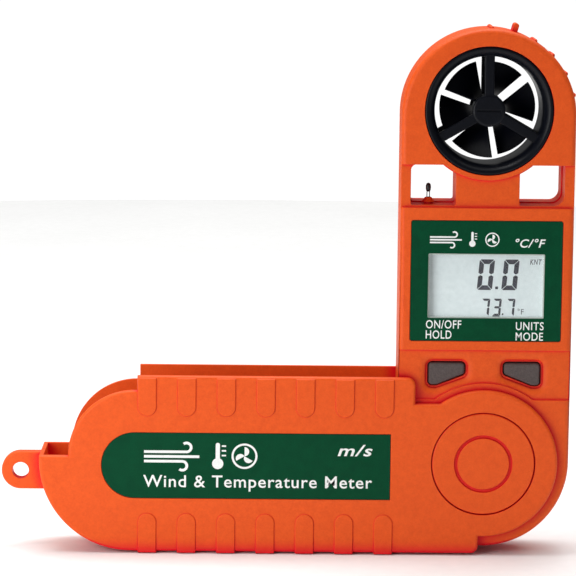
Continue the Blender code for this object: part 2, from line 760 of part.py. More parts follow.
def cut_button_zone(shell, parent):
    """The step across the body below the display, the scoops round the keys and the key holes."""
    far = BODY_HALF_WIDTH + PAST
    floor = FRONT + BUTTON_ZONE_DEPTH
    zone = box(
        "button_zone",
        (-far, FRONT - PAST, BUTTON_ZONE_BOTTOM),
        (far, floor, BUTTON_ZONE_TOP),
        parent=parent,
        helper=True,
    )
    land = rod(
        "pivot_land",
        LAND_RADIUS,
        (0, FRONT - 2 * PAST, 0),
        (0, floor + PAST, 0),
        parent=parent,
        helper=True,
        sides=36,
    )
    combine(zone, land)
    combine(shell, zone)
    for side, word in ((-1, "left"), (1, "right")):
        outline = button_outline(SCOOP_MARGIN, side)
        scoop = prism(f"scoop_{word}", [outline], FRONT - PAST, SCOOP_FLOOR, parent=parent, helper=True)
        combine(scoop, land)
        combine(shell, scoop)
        outline = button_outline(FIT_GAP, side)
        hole = prism(f"key_hole_{word}", [outline], FRONT - PAST, 0, parent=parent, helper=True)
        combine(shell, hole)


def make_back_shell(material, parent):
    shell = body_blank("back_shell", material, parent)
    combine(shell, ridge_bars(parent), "UNION")
    start, end = (0, BACK - PAST, 0), (0, BOSS_FACE, 0)
    boss = rod("back_boss", BOSS_RADIUS, start, end, parent=parent, helper=True, sides=36)
    combine(shell, boss, "UNION")
    far = BODY_HALF_WIDTH + DOME_RISE + 2 * PAST
    low, high = (-far, FRONT - PAST, -far), (far, SEAM / 2, far)
    front_half = box("back_seam", low, high, parent=parent, helper=True)
    combine(shell, front_half)
    cut_both_shells(shell, "back", BACK, parent)
    cavity = box(
        "back_cavity",
        (-CAVITY_HALF_WIDTH, -PAST, CAVITY_BOTTOM),
        (CAVITY_HALF_WIDTH, INNER_BACK, CAVITY_TOP),
        parent=parent,
        helper=True,
    )
    combine(shell, cavity)
    combine(shell, pickup_space(parent))
    pocket_floor = CELL_FLOOR_Y - POCKET_DEPTH_BELOW_CELL
    pocket = rod(
        "cell_pocket",
        POCKET_RADIUS,
        (0, pocket_floor, 0),
        (0, BOSS_FACE + PAST, 0),
        parent=parent,
        helper=True,
        sides=36,
    )
    combine(shell, pocket)
    seat_floor = BOSS_FACE - CAP_FLANGE - FIT_GAP
    seat = rod(
        "cap_seat",
        CAP_RADIUS + FIT_GAP,
        (0, seat_floor, 0),
        (0, BOSS_FACE + PAST, 0),
        parent=parent,
        helper=True,
        sides=36,
    )
    combine(shell, seat)
    head_floor = BACK - SCREW_SINK - SCREW_HEAD_HEIGHT - FILM_GAP
    shanks, heads = [], []
    for i, (x, z) in enumerate(screw_places()):
        start, end = (x, -PAST, z), (x, BACK, z)
        shanks.append(rod(f"shank_hole_{i}", SCREW_SHANK_RADIUS + FIT_GAP, start, end, helper=True, sides=12))
        start, end = (x, head_floor, z), (x, BACK + PAST, z)
        heads.append(rod(f"head_hole_{i}", SCREW_HEAD_RADIUS + FIT_GAP, start, end, helper=True))
    combine(shell, merged_helper("shank_holes", shanks, parent))
    combine(shell, merged_helper("head_holes", heads, parent))
    return shell


def make_gasket(material, parent):
    rings = [
        gasket_outline(GASKET_OFFSET + GASKET_WIDTH / 2),
        gasket_outline(GASKET_OFFSET - GASKET_WIDTH / 2),
    ]
    prism("shell_gasket", rings, -GASKET_DEPTH / 2, GASKET_DEPTH / 2, material, parent)


def make_body_screws(material, parent):
    """Pan-head screws driven from the back."""
    head_top = BACK - SCREW_SINK
    head_floor = head_top - SCREW_HEAD_HEIGHT
    profile = [
        (0, head_top),
        (SCREW_HEAD_RADIUS * 0.8, head_top),
        (SCREW_HEAD_RADIUS, head_top - SCREW_HEAD_HEIGHT * 0.4),
        (SCREW_HEAD_RADIUS, head_floor),
        (SCREW_SHANK_RADIUS, head_floor),
        (SCREW_SHANK_RADIUS, -SCREW_BITE + SCREW_SHANK_RADIUS),
        (0, -SCREW_BITE),
    ]
    for i, (x, z) in enumerate(screw_places()):
        screw = turned(f"body_screw_{i + 1}", profile, material, parent, steps=12, tilt=-90)
        screw.location = (x, 0, z)


# Display


def make_display(materials, parent):
    outline = rounded_box(
        FILM_GAP - LABEL_HALF_WIDTH,
        LABEL_HALF_WIDTH - FILM_GAP,
        LABEL_BOTTOM + FILM_GAP,
        LABEL_TOP - FILM_GAP,
        (LABEL_CORNER - FILM_GAP,) * 4,
    )
    view = rounded_box(
        FIT_GAP - APERTURE_HALF_WIDTH,
        APERTURE_HALF_WIDTH - FIT_GAP,
        APERTURE_BOTTOM + FIT_GAP,
        APERTURE_TOP - FIT_GAP,
        (LENS_CORNER,) * 4,
    )
    label_back = FRONT + LABEL_RECESS - FILM_GAP
    label_front = label_back - LABEL_THICKNESS
    prism("display_label", [outline, view], label_front, label_back, materials["green"], parent)
    lens_front = FRONT + LABEL_RECESS + FILM_GAP
    box(
        "display_lens",
        (FIT_GAP - APERTURE_HALF_WIDTH, lens_front, APERTURE_BOTTOM + FIT_GAP),
        (APERTURE_HALF_WIDTH - FIT_GAP, lens_front + LENS_THICKNESS, APERTURE_TOP - FIT_GAP),
        materials["lens"],
        parent,
    )
    lcd_half = APERTURE_HALF_WIDTH + LCD_OVERLAP
    lcd_bottom, lcd_top = APERTURE_BOTTOM - LCD_OVERLAP, APERTURE_TOP + LCD_OVERLAP
    low, high = (-lcd_half, LCD_FRONT, lcd_bottom), (lcd_half, LCD_BACK, lcd_top)
    box("lcd_panel", low, high, materials["lcd"], parent)
    for word, z in (("upper", lcd_top - ZEBRA_HEIGHT), ("lower", lcd_bottom)):
        box(
            f"zebra_strip_{word}",
            (FILM_GAP - lcd_half, LCD_BACK + FILM_GAP, z),
            (lcd_half - FILM_GAP, BOARD_FACE - FILM_GAP, z + ZEBRA_HEIGHT),
            materials["silicone"],
            parent,
        )


# Circuit board and buttons


def make_board(materials, parent):
    half = CAVITY_HALF_WIDTH - BOARD_MARGIN
    bottom, top = CAVITY_BOTTOM + BOARD_MARGIN, CAVITY_TOP - BOARD_MARGIN
    back = BOARD_FACE + BOARD_THICKNESS
    outline = rounded_box(-half, half, bottom, top, (BOARD_CORNER,) * 4)
    prism("circuit_board", [outline], BOARD_FACE, back, materials["board"], parent)
    for side, word in ((-1, "left"), (1, "right")):
        x = side * BUTTON_X
        half = SWITCH_SIZE / 2
        box(
            f"tact_switch_{word}",
            (x - half, BOARD_FACE - FILM_GAP - SWITCH_HEIGHT, BUTTON_Z - half),
            (x + half, BOARD_FACE - FILM_GAP, BUTTON_Z + half),
            materials["black"],
            parent,
        )
    chip_z = (APERTURE_TOP + APERTURE_BOTTOM) / 2
    chip_front = back + FILM_GAP
    low = (-CHIP_SIZE / 2, chip_front, chip_z - CHIP_SIZE / 2)
    high = (CHIP_SIZE / 2, chip_front + CHIP_HEIGHT, chip_z + CHIP_SIZE / 2)
    box("display_driver_chip", low, high, materials["black"], parent)


def make_buttons(material, parent):
    """Rubber keys that run through the front shell, each with a flange behind it and a stem to its switch."""
    key_front = SCOOP_FLOOR - BUTTON_PROUD
    flange_front = SCOOP_WALL_BACK + FILM_GAP
    flange_back = flange_front + BUTTON_FLANGE
    stem_end = BOARD_FACE - SWITCH_HEIGHT - FILM_GAP - BUTTON_TRAVEL - FILM_GAP
    for side, word in ((-1, "left"), (1, "right")):
        name = f"button_{word}"
        key = prism(name, [button_outline(0, side)], key_front, flange_back, material, parent)
        flange_outline = button_outline(2 * FIT_GAP + BUTTON_FLANGE, side)
        ends = (flange_front, flange_back)
        flange = prism(name + "_flange", [flange_outline], *ends, parent=parent, helper=True)
        combine(key, flange, "UNION")
        start = (side * BUTTON_X, flange_front, BUTTON_Z)
        end = (side * BUTTON_X, stem_end, BUTTON_Z)
        stem = rod(name + "_stem", BUTTON_STEM_RADIUS, start, end, parent=parent, helper=True)
        combine(key, stem, "UNION")


# Battery


def make_battery(materials, parent):
    """Coin cell on the pivot axis, its contacts, and the coin-slot cap with its sealing ring."""
    rim = CELL_RIM
    profile = [
        (0, CELL_BACK_Y),
        (CELL_RADIUS - rim, CELL_BACK_Y),
        (CELL_RADIUS, CELL_BACK_Y - rim),
        (CELL_RADIUS, CELL_FLOOR_Y + rim),
        (CELL_RADIUS - rim, CELL_FLOOR_Y),
        (0, CELL_FLOOR_Y),
    ]
    turned("coin_cell", profile, materials["steel"], parent, tilt=-90)
    leaf_back = CELL_FLOOR_Y - FILM_GAP
    half, width = LEAF_HALF_LENGTH, LEAF_HALF_WIDTH
    leaf = rounded_box(-half, half, -width, width, (LEAF_CORNER,) * 4)
    leaf_front = leaf_back - CONTACT_THICKNESS
    prism("contact_negative", [leaf], leaf_front, leaf_back, materials["steel"], parent)
    gap = POCKET_GAP - FILM_GAP
    inner, outer = CELL_RADIUS + FILM_GAP / 2, CELL_RADIUS + gap
    first, last = STRIP_ANGLES
    strip = arc(0, 0, outer, first, last) + arc(0, 0, inner, last, first)
    prism("contact_positive", [strip], CELL_FLOOR_Y, CELL_BACK_Y, materials["steel"], parent)


def make_battery_cap(materials, parent):
    face = BOSS_FACE
    shoulder = face - CAP_FLANGE
    foot = shoulder - CAP_PLUG
    plug_radius = POCKET_RADIUS - FIT_GAP
    ring_major = plug_radius - CAP_RING_SECTION + FIT_GAP / 3
    groove_radius = ring_major - CAP_RING_SECTION - FILM_GAP / 2
    groove_middle = shoulder - CAP_PLUG / 2
    groove_half = CAP_RING_SECTION + FILM_GAP
    profile = [
        (0, face),
        (CAP_RADIUS - CAP_EDGE, face),
        (CAP_RADIUS, face - CAP_EDGE),
        (CAP_RADIUS, shoulder),
        (plug_radius, shoulder),
        (plug_radius, groove_middle + groove_half),
        (groove_radius, groove_middle + groove_half),
        (groove_radius, groove_middle - groove_half),
        (plug_radius, groove_middle - groove_half),
        (plug_radius, foot),
        (0, foot),
    ]
    cap = turned("battery_cap", profile, materials["orange"], parent, tilt=-90)
    slot = box(
        "coin_slot",
        (-CAP_SLOT_LENGTH / 2, face - CAP_SLOT_DEPTH, -CAP_SLOT_WIDTH / 2),
        (CAP_SLOT_LENGTH / 2, face + PAST, CAP_SLOT_WIDTH / 2),
        parent=parent,
        helper=True,
    )
    combine(cap, slot)
    section = circle(ring_major, groove_middle, CAP_RING_SECTION, 45)
    turned("battery_cap_ring", section[::-1], materials["silicone"], parent, closed=True, tilt=-90)


# Fan module


def spider(name, front, back, reach, material, parent, helper=False):
    """A hub with three spokes that reach out to a radius."""
    hub = rod(name, SPIDER_HUB_RADIUS, (0, front, 0), (0, back, 0), material, parent, helper, sides=24)
    spokes = []
    for angle in SPOKE_ANGLES:
        low = (SPIDER_HUB_RADIUS * 0.6, front + FILM_GAP, -SPOKE_WIDTH / 2)
        high = (reach, back - FILM_GAP, SPOKE_WIDTH / 2)
        spoke = box(f"{name}_spoke_{angle}", low, high, helper=True)
        spoke.data.transform(Matrix.Rotation(-math.radians(angle), 4, "Y"))
        spokes.append(spoke)
    combine(hub, merged_helper(name + "_spokes", spokes, parent), "UNION")
    return hub


def cut_jewel_seat(hub, name, inner_face, parent):
    """The blind seat for a jewel bearing in a spider's hub, open towards the rotor."""
    into = -1 if inner_face < 0 else 1
    start = (0, inner_face - into * PAST, 0)
    end = (0, inner_face + into * (JEWEL_THICKNESS + FILM_GAP), 0)
    seat = rod(name, JEWEL_RADIUS + FILM_GAP, start, end, parent=parent, helper=True)
    combine(hub, seat)


def make_duct(material, parent):
    """The black ring with its front spider moulded in, and a counterbore at the back for the bridge."""
    half = BODY_DEPTH / 2 - FILM_GAP
    bore_back = SPIDER_DEPTH + FIT_GAP
    bridge_seat = DUCT_INNER + BRIDGE_RING_WALL + FIT_GAP
    profile = [
        (FAN_RADIUS - DUCT_LIP, half),
        (FAN_RADIUS, half - DUCT_LIP),
        (FAN_RADIUS, -half),
        (bridge_seat, -half),
        (bridge_seat, -half + bore_back),
        (DUCT_INNER, -half + bore_back),
        (DUCT_INNER, half / 2),
        (DUCT_INNER + DUCT_FLARE, half - DUCT_LIP),
        (DUCT_INNER + DUCT_FLARE + DUCT_LIP, half),
    ]
    duct = turned("fan_duct", profile, material, parent, closed=True, tilt=90)
    front = -half + SPIDER_SET_BACK
    back = front + SPIDER_DEPTH
    hub = spider("front_spider", front, back, DUCT_INNER + DUCT_FLARE, None, parent, helper=True)
    combine(duct, hub, "UNION")
    cut_jewel_seat(duct, "front_jewel_seat", back, parent)
    return back


def make_bridge(material, parent):
    """The rear bearing bridge: a thin ring, three spokes and a hub, pressed in the duct's counterbore."""
    back = BODY_DEPTH / 2 - FILM_GAP
    front = back - SPIDER_DEPTH
    outer = DUCT_INNER + BRIDGE_RING_WALL
    rings = [circle(0, 0, outer), circle(0, 0, DUCT_INNER)]
    bridge = prism("rear_bearing_bridge", rings, front, back, material, parent)
    hub = spider("bridge_spider", front, back, DUCT_INNER + BRIDGE_RING_WALL / 2, None, parent, helper=True)
    combine(bridge, hub, "UNION")
    cut_jewel_seat(bridge, "rear_jewel_seat", front, parent)
    return front


def make_jewels(front_face, back_face, material, parent):
    """Ring jewels that carry the ends of the rotor's shaft."""
    bore = SHAFT_RADIUS + BEARING_GAP
    rings = [circle(0, 0, JEWEL_RADIUS, SMALL_ARC_STEP), circle(0, 0, bore, SMALL_ARC_STEP)]
    thickness = JEWEL_THICKNESS - FILM_GAP
    prism("jewel_front", rings, front_face - thickness, front_face, material, parent)
    prism("jewel_rear", rings, back_face, back_face + thickness, material, parent)


def blade_sheet(name, angle, front, depth):
    """One pitched blade: a radial line swept round and back along the axis, then thickened."""
    mesh = bpy.data.meshes.new(name)
    start = math.radians(angle)
    inner, outer = ROTOR_HUB_RADIUS * 0.8, ROTOR_RADIUS
    points = []
    for radius in (inner, outer):
        points.append((radius * math.cos(start), radius * math.sin(start), -front - depth))
    mesh.from_pydata(points, [(0, 1)], [])
    sheet = bpy.data.objects.new(name, mesh)
    bpy.context.scene.collection.objects.link(sheet)
    sweep = sheet.modifiers.new("sweep", "SCREW")
    sweep.angle = math.radians(BLADE_SWEEP)
    sweep.screw_offset = depth
    sweep.steps = 6
    sweep.render_steps = 6
    wall = sheet.modifiers.new("wall", "SOLIDIFY")
    wall.thickness = BLADE_THICKNESS
    wall.offset = 0
    graph = bpy.context.evaluated_depsgraph_get()
    solid = bpy.data.meshes.new_from_object(sheet.evaluated_get(graph))
    solid.transform(Matrix.Rotation(math.pi / 2, 4, "X"))
    tidy_normals(solid)
    bpy.data.objects.remove(sheet)
    return add_object(name, solid, None, None, helper=True)


def tidy_normals(mesh):
    shape = bmesh.new()
    shape.from_mesh(mesh)
    bmesh.ops.remove_doubles(shape, verts=shape.verts, dist=WELD)
    bmesh.ops.recalc_face_normals(shape, faces=shape.faces)
    shape.to_mesh(mesh)
    shape.free()


def make_rotor(front_face, back_face, materials, parent):
    """Impeller with its shaft and the magnet that the pickup senses."""
    bore = SHAFT_RADIUS + FILM_GAP
    hub_front = front_face + ROTOR_FRONT_GAP
    hub_back = back_face - ROTOR_BACK_GAP
    rings = [circle(0, 0, ROTOR_HUB_RADIUS, 15), circle(0, 0, bore, SMALL_ARC_STEP)]
    rotor = prism("impeller", rings, hub_front, hub_back, materials["black"], parent)
    pitch = 360 / BLADE_COUNT
    first = BLADE_FIRST_ANGLE - BLADE_SWEEP / 2
    blade_front = hub_front + BLADE_END_MARGIN
    depth = hub_back - hub_front - 2 * BLADE_END_MARGIN
    blades = [blade_sheet(f"blade_{i}", first + i * pitch, blade_front, depth) for i in range(BLADE_COUNT)]
    combine(rotor, merged_helper("blades", blades, parent), "UNION")
    start, end = (0, hub_front - PAST, 0), (0, hub_back + PAST, 0)
    clear_bore = rod("rotor_bore", bore, start, end, parent=parent, helper=True)
    combine(rotor, clear_bore)
    magnet_front = hub_back - MAGNET_THICKNESS
    pocket = rod(
        "magnet_pocket",
        MAGNET_RADIUS + FILM_GAP,
        (0, magnet_front, 0),
        (0, hub_back + PAST, 0),
        parent=parent,
        helper=True,
    )
    combine(rotor, pocket)
    magnet_rings = [circle(0, 0, MAGNET_RADIUS, SMALL_ARC_STEP), circle(0, 0, bore, SMALL_ARC_STEP)]
    prism("rotor_magnet", magnet_rings, magnet_front + FILM_GAP, hub_back, materials["steel"], parent)
    start = (0, front_face - JEWEL_THICKNESS + FILM_GAP, 0)
    end = (0, back_face + JEWEL_THICKNESS - FILM_GAP, 0)
    rod("rotor_shaft", SHAFT_RADIUS, start, end, materials["steel"], parent)


# Sensors


def make_thermistor(materials, parent):
    """A bead on a hairpin lead that stands in the left window, and the grommet it comes up through."""
    bead_z = WINDOW_BOTTOM + BEAD_RISE
    foot_z = CAVITY_TOP - 2 * BOARD_MARGIN - LEAD_RADIUS
    board_y = BOARD_FACE - FILM_GAP
    left, right = -LEAD_SPREAD, LEAD_SPREAD
    points = [
        (left, board_y, foot_z),
        (left, THERMISTOR_Y, foot_z),
        (left, THERMISTOR_Y, bead_z),
        (right, THERMISTOR_Y, bead_z),
        (right, THERMISTOR_Y, foot_z),
        (right, board_y, foot_z),
    ]
    places = [(x - THERMISTOR_X, y, z) for x, y, z in points]
    thermistor = tube("thermistor", places, LEAD_RADIUS, materials["steel"], parent)
    half = BEAD_LENGTH / 2
    cap = BEAD_RADIUS * 0.6
    profile = [
        (0, half),
        (BEAD_RADIUS * 0.75, half - cap / 2),
        (BEAD_RADIUS, half - cap),
        (BEAD_RADIUS, cap - half),
        (BEAD_RADIUS * 0.8, -half),
        (0, -half),
    ]
    bead = turned("thermistor_bead", profile, None, parent, steps=12, helper=True)
    bead.location = (-THERMISTOR_X, THERMISTOR_Y, bead_z)
    combine(thermistor, bead, "UNION")
    sill = WINDOW_BOTTOM + FILM_GAP
    bore = LEAD_SPREAD + LEAD_RADIUS + FILM_GAP
    stem_foot = CAVITY_TOP + GASKET_OFFSET
    grommet_profile = [
        (bore + GROMMET_LIP, sill + GROMMET_HEIGHT),
        (GROMMET_RADIUS, sill),
        (GROMMET_STEM_RADIUS, sill),
        (GROMMET_STEM_RADIUS, stem_foot),
        (bore, stem_foot),
        (bore, sill + GROMMET_HEIGHT),
    ]
    grommet = turned(
        "thermistor_grommet", grommet_profile, materials["orange"], parent, steps=16, closed=True
    )
    grommet.location = (-THERMISTOR_X, THERMISTOR_Y, 0)


def make_pickup(materials, parent):
    """The coil that senses the rotor's magnet, and its wire down to the board."""
    low = (-PICKUP_HALF_WIDTH, -PICKUP_HALF_DEPTH, PICKUP_TOP - PICKUP_HEIGHT)
    high = (PICKUP_HALF_WIDTH, PICKUP_HALF_DEPTH, PICKUP_TOP)
    box("pickup_coil", low, high, materials["copper"], parent)
    wire_y = PICKUP_HALF_DEPTH + FIT_GAP + WIRE_CHANNEL_HALF
    top = PICKUP_TOP - PICKUP_HEIGHT / 2
    foot = CAVITY_TOP + FILM_GAP
    rod("pickup_wire", WIRE_RADIUS, (0, wire_y, foot), (0, wire_y, top), materials["copper"], parent, sides=8)


# Cover


def rib_outline(x, top_edge, length, upwards):
    """A grip rib: square at the cover's edge and half round at its inner end."""
    half = RIB_WIDTH / 2
    if upwards:
        inner = top_edge + length - half
        return [(x - half, top_edge), (x + half, top_edge)] + arc(x, inner, half, 0, 180, SMALL_ARC_STEP)
    inner = top_edge - length + half
    return [(x + half, top_edge), (x - half, top_edge)] + arc(x, inner, half, 180, 360, SMALL_ARC_STEP)


def rib_bars(name, front, back, parent):
    """Ribs along both long edges of the cover; the lower ones wrap round the spine."""
    first = COVER_END_X + EDGE_START_OFFSET + RIB_WIDTH / 2
    bars = []
    for i in range(RIB_COUNT):
        x = first + i * RIB_PITCH
        upper = rib_outline(x, COVER_RISE - COVER_CHAMFER, RIB_LENGTH - COVER_CHAMFER, False)
        lower = rib_outline(x, -COVER_DROP - RIB_HEIGHT, RIB_LENGTH, True)
        bars.append(prism(f"upper_rib_{i}", [upper], front, back, helper=True))
        bars.append(prism(f"lower_rib_{i}", [lower], front, back, helper=True))
    return merged_helper(name, bars, parent)


def cover_half(name, side, material, parent):
    """Front (side -1) or back (side 1) half of the sheath: a wall, half the spine and half the loop."""
    half = prism(name, [cover_outline()], -COVER_OUTER, COVER_OUTER, material, parent)
    chamfer(half, COVER_CHAMFER)
    ribs_out = COVER_OUTER + RIB_HEIGHT
    combine(half, rib_bars(name + "_ribs", -ribs_out, ribs_out, parent), "UNION")
    loop_outline = arc(LOOP_X, -LOOP_DROP, LOOP_RADIUS, 90, 270) + [
        (COVER_END_X - COVER_DROP + PAST, -LOOP_DROP - LOOP_RADIUS),
        (COVER_END_X - COVER_DROP + PAST, -LOOP_DROP + LOOP_RADIUS),
    ]
    loop_half = LOOP_THICKNESS / 2
    loop = prism(name + "_loop", [loop_outline], -loop_half, loop_half, parent=parent, helper=True)
    combine(half, loop, "UNION")
    hole = rod(
        name + "_loop_hole",
        LOOP_HOLE_RADIUS,
        (LOOP_X, -COVER_OUTER, -LOOP_DROP),
        (LOOP_X, COVER_OUTER, -LOOP_DROP),
        parent=parent,
        helper=True,
    )
    combine(half, hole)
    hollow_outline = cover_hollow_outline()
    ends = (-COVER_INNER, COVER_INNER)
    hollow = prism(name + "_hollow", [hollow_outline], *ends, parent=parent, helper=True)
    combine(half, hollow)
    pivot_hole = rod(
        name + "_pivot_hole",
        BOSS_RADIUS + BOSS_GAP,
        (0, -COVER_OUTER - PAST, 0),
        (0, COVER_OUTER + PAST, 0),
        parent=parent,
        helper=True,
        sides=36,
    )
    combine(half, pivot_hole)
    far = COVER_DROP - COVER_END_X + 4 * PAST
    cut_front, cut_back = sorted((side * -COVER_OUTER * 2, side * SEAM / 2))
    other = box(name + "_seam", (-far * 2, cut_front, -far), (far, cut_back, far), parent=parent, helper=True)
    combine(half, other)
    return half


def cover_label_outline(shrink):
    """Half round at the loop end and square at the pivot end."""
    radius = COVER_LABEL_HEIGHT / 2 - shrink
    left = COVER_END_X - COVER_DROP + COVER_LABEL_END_MARGIN + COVER_LABEL_HEIGHT / 2
    right = -COVER_LABEL_START - shrink
    middle = -COVER_LABEL_DROP
    return arc(left, middle, radius, 90, 270) + [(right, middle - radius), (right, middle + radius)]


def make_cover(materials, parent):
    front_half = cover_half("cover_front", -1, materials["orange"], parent)
    cover_half("cover_back", 1, materials["orange"], parent)
    recess_floor = -COVER_OUTER + LABEL_RECESS
    outline = cover_label_outline(0)
    combine(
        front_half,
        prism("cover_label_recess", [outline], -COVER_OUTER - PAST, recess_floor, parent=parent, helper=True),
    )
    label_back = recess_floor - FILM_GAP
    label_outline = cover_label_outline(FILM_GAP)
    label_front = label_back - LABEL_THICKNESS
    prism("cover_label", [label_outline], label_front, label_back, materials["green"], parent)


# Assembly


def clear_scene():
    for obj in list(bpy.data.objects):
        bpy.data.objects.remove(obj)


def make_collections():
    for name in ("weather_meter", "cutters"):
        collection = bpy.data.collections.new(name)
        bpy.context.scene.collection.children.link(collection)


def make_frame(name, location, parent=None):
    """An empty on a joint's axis."""
    frame = bpy.data.objects.new(name, None)
    bpy.data.collections["weather_meter"].objects.link(frame)
    frame.location = location
    frame.parent = parent
    return frame


def main():
    clear_scene()
    make_collections()
    materials = make_materials()
    pivot = make_frame("pivot_frame", (PIVOT_X, 0, PIVOT_Z))
    fan = make_frame("fan_frame", (0, 0, FAN_Z), pivot)
    make_front_shell(materials["orange"], pivot)
    make_back_shell(materials["orange"], pivot)
    make_gasket(materials["silicone"], pivot)
    make_body_screws(materials["steel"], pivot)
    make_display(materials, pivot)
    make_board(materials, pivot)
    make_buttons(materials["grey"], pivot)
    make_battery(materials, pivot)
    make_battery_cap(materials, pivot)
    front_face = make_duct(materials["black"], fan)
    back_face = make_bridge(materials["black"], fan)
    make_jewels(front_face, back_face, materials["jewel"], fan)
    make_rotor(front_face, back_face, materials, fan)
    make_thermistor(materials, pivot)
    make_pickup(materials, pivot)
    make_cover(materials, pivot)


main()
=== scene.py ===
"""Pocket weather meter: every visible piece, its finish, and the light it stands in.

Pieces are drawn on a bench in millimetres, with the folding pivot at the origin,
X to the right, Z up and the display facing -Y. place() then moves each one into the frame.
"""

import json
import math

import bmesh
import bpy
from mathutils import Matrix, Vector
from mathutils.bvhtree import BVHTree


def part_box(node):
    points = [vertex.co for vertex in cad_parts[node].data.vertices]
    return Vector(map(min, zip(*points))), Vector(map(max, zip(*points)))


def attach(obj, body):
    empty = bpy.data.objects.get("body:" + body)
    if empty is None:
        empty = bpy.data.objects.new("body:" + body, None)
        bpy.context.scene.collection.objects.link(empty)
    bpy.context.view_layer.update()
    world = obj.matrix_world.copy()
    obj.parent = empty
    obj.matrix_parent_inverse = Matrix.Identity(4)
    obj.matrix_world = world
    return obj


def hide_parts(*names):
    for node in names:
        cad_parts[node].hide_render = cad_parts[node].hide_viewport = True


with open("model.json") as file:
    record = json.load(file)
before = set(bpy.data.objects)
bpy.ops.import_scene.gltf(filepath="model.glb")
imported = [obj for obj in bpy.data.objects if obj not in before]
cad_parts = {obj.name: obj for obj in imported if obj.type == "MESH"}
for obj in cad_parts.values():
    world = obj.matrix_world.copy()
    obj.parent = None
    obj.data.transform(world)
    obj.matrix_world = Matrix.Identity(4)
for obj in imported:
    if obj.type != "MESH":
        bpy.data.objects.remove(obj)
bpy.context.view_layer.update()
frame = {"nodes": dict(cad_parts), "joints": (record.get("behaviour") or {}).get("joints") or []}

MM = 0.001
joint_places = {joint["name"]: joint.get("pos_m") for joint in frame["joints"]}
PIVOT = Vector(joint_places["head_fold"])
TO_FRAME = Matrix.Translation(PIVOT) @ Matrix.Scale(MM, 4)


def span(node):
    """Lowest and highest corner of a CAD node, in millimetres from the pivot."""
    low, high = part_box(node)
    return (low - PIVOT) / MM, (high - PIVOT) / MM


# Sizes that the CAD nodes give
case_low, case_high = span("back_shell")
HALF_WIDTH = -case_low.x
BOSS_FACE = case_high.y
cell_front = span("coin_cell")[0].y
lcd_low, lcd_high = span("lcd_panel")
lens_low, lens_high = span("display_lens")
film_low, film_high = span("display_label")
cover_film_low, cover_film_high = span("cover_label")
duct_low, duct_high = span("fan_duct")
bridge_low, bridge_high = span("rear_bearing_bridge")
wheel_low, wheel_high = span("impeller")
cap_low, cap_high = span("battery_cap")
FAN_Z = (joint_places["impeller_spin"][2] - PIVOT.z) / MM

# Case
FACE = 7.3
WALL = 1.8
SEAM = 0.2
PAST = 2.0
CASE_SOFTEN = 1.3
MOULD_EDGE = 0.14
DOME_Z = 85.9
BOSS_RADIUS = 12.7
BOSS_EDGE = 0.4
LAND_RADIUS = 19.9
CAVITY_HALF = 16.9
CAVITY_BOTTOM = 17.0
CAVITY_TOP = 57.4
KEY_ZONE = (15.8, 28.2)
KEY_ZONE_DEPTH = 0.7
SCOOP_FLOOR = -5.6
KEY_X = 9.3
KEY_Z = 22.1
KEY_TOP = -6.5
KEY_ROUND = 0.6
KEY_SEAT = SCOOP_FLOOR + WALL
AIR_ZONE = (63.4, 74.0)
AIR_ZONE_DEPTH = 0.9
WINDOW_BOTTOM = 64.3
NECK_HALF = 7.8
PILLAR_X = 18.5
FAN_SEAT = 15.77
FAN_BOSS = 16.95
WINDOW_BOSS = FAN_BOSS + 0.32
APERTURE = (14.45, 36.0, 52.3)
FILM_RECESS = 0.5
SCREW_PLACES = [(-17.5, 11.8), (17.5, 11.8), (-10.5, 61.1), (10.5, 61.1)]
SENSOR_X = -14.3
SENSOR_Y = -1.6
INK = 0.02

# Cover
COVER_INNER = 7.6
COVER_END_X = -87.1
COVER_DROP = 22.7
COVER_EDGE = 21.4
COVER_SOFTEN = 0.8
LOBE_RADIUS = 18.4
RIB_PITCH = 9.75
RIB_WIDTH = 4.6
RIB_LENGTH = 10.0
RIB_PROUD = 0.3
COVER_FACE = span("cover_back")[1].y - RIB_PROUD
FIRST_RIB = -83.05
LOOP_PLACE = (-114.9, -4.1)
LOOP_RADIUS = 4.75
LOOP_HOLE = 2.05

# Fan
DUCT_RADIUS = 15.75
DUCT_INNER = 13.2
SPOKES = 3
SPOKE_WIDTH = 2.4
HUB_RADIUS = 4.0
WHEEL_HUB = 3.6
WHEEL_RADIUS = 11.8
BLADES = 6
BLADE_ROOT = 2.9
BLADE_GAP = 1.9
BLADE_THICKNESS = 0.6


# Drawing on the bench

FINE = 3.0  # degrees of an arc per step
CRACK = 0.0005  # the widest gap that a Boolean leaves between faces that should meet


def arc(x, z, radius, start, end, step=FINE):
    """Points along an arc from start to end, in degrees."""
    count = max(2, math.ceil(abs(end - start) / step))
    angles = [math.radians(start + (end - start) * i / count) for i in range(count + 1)]
    return [(x + radius * math.cos(a), z + radius * math.sin(a)) for a in angles]


def ring(x, z, radius):
    return arc(x, z, radius, 0, 360)[:-1]


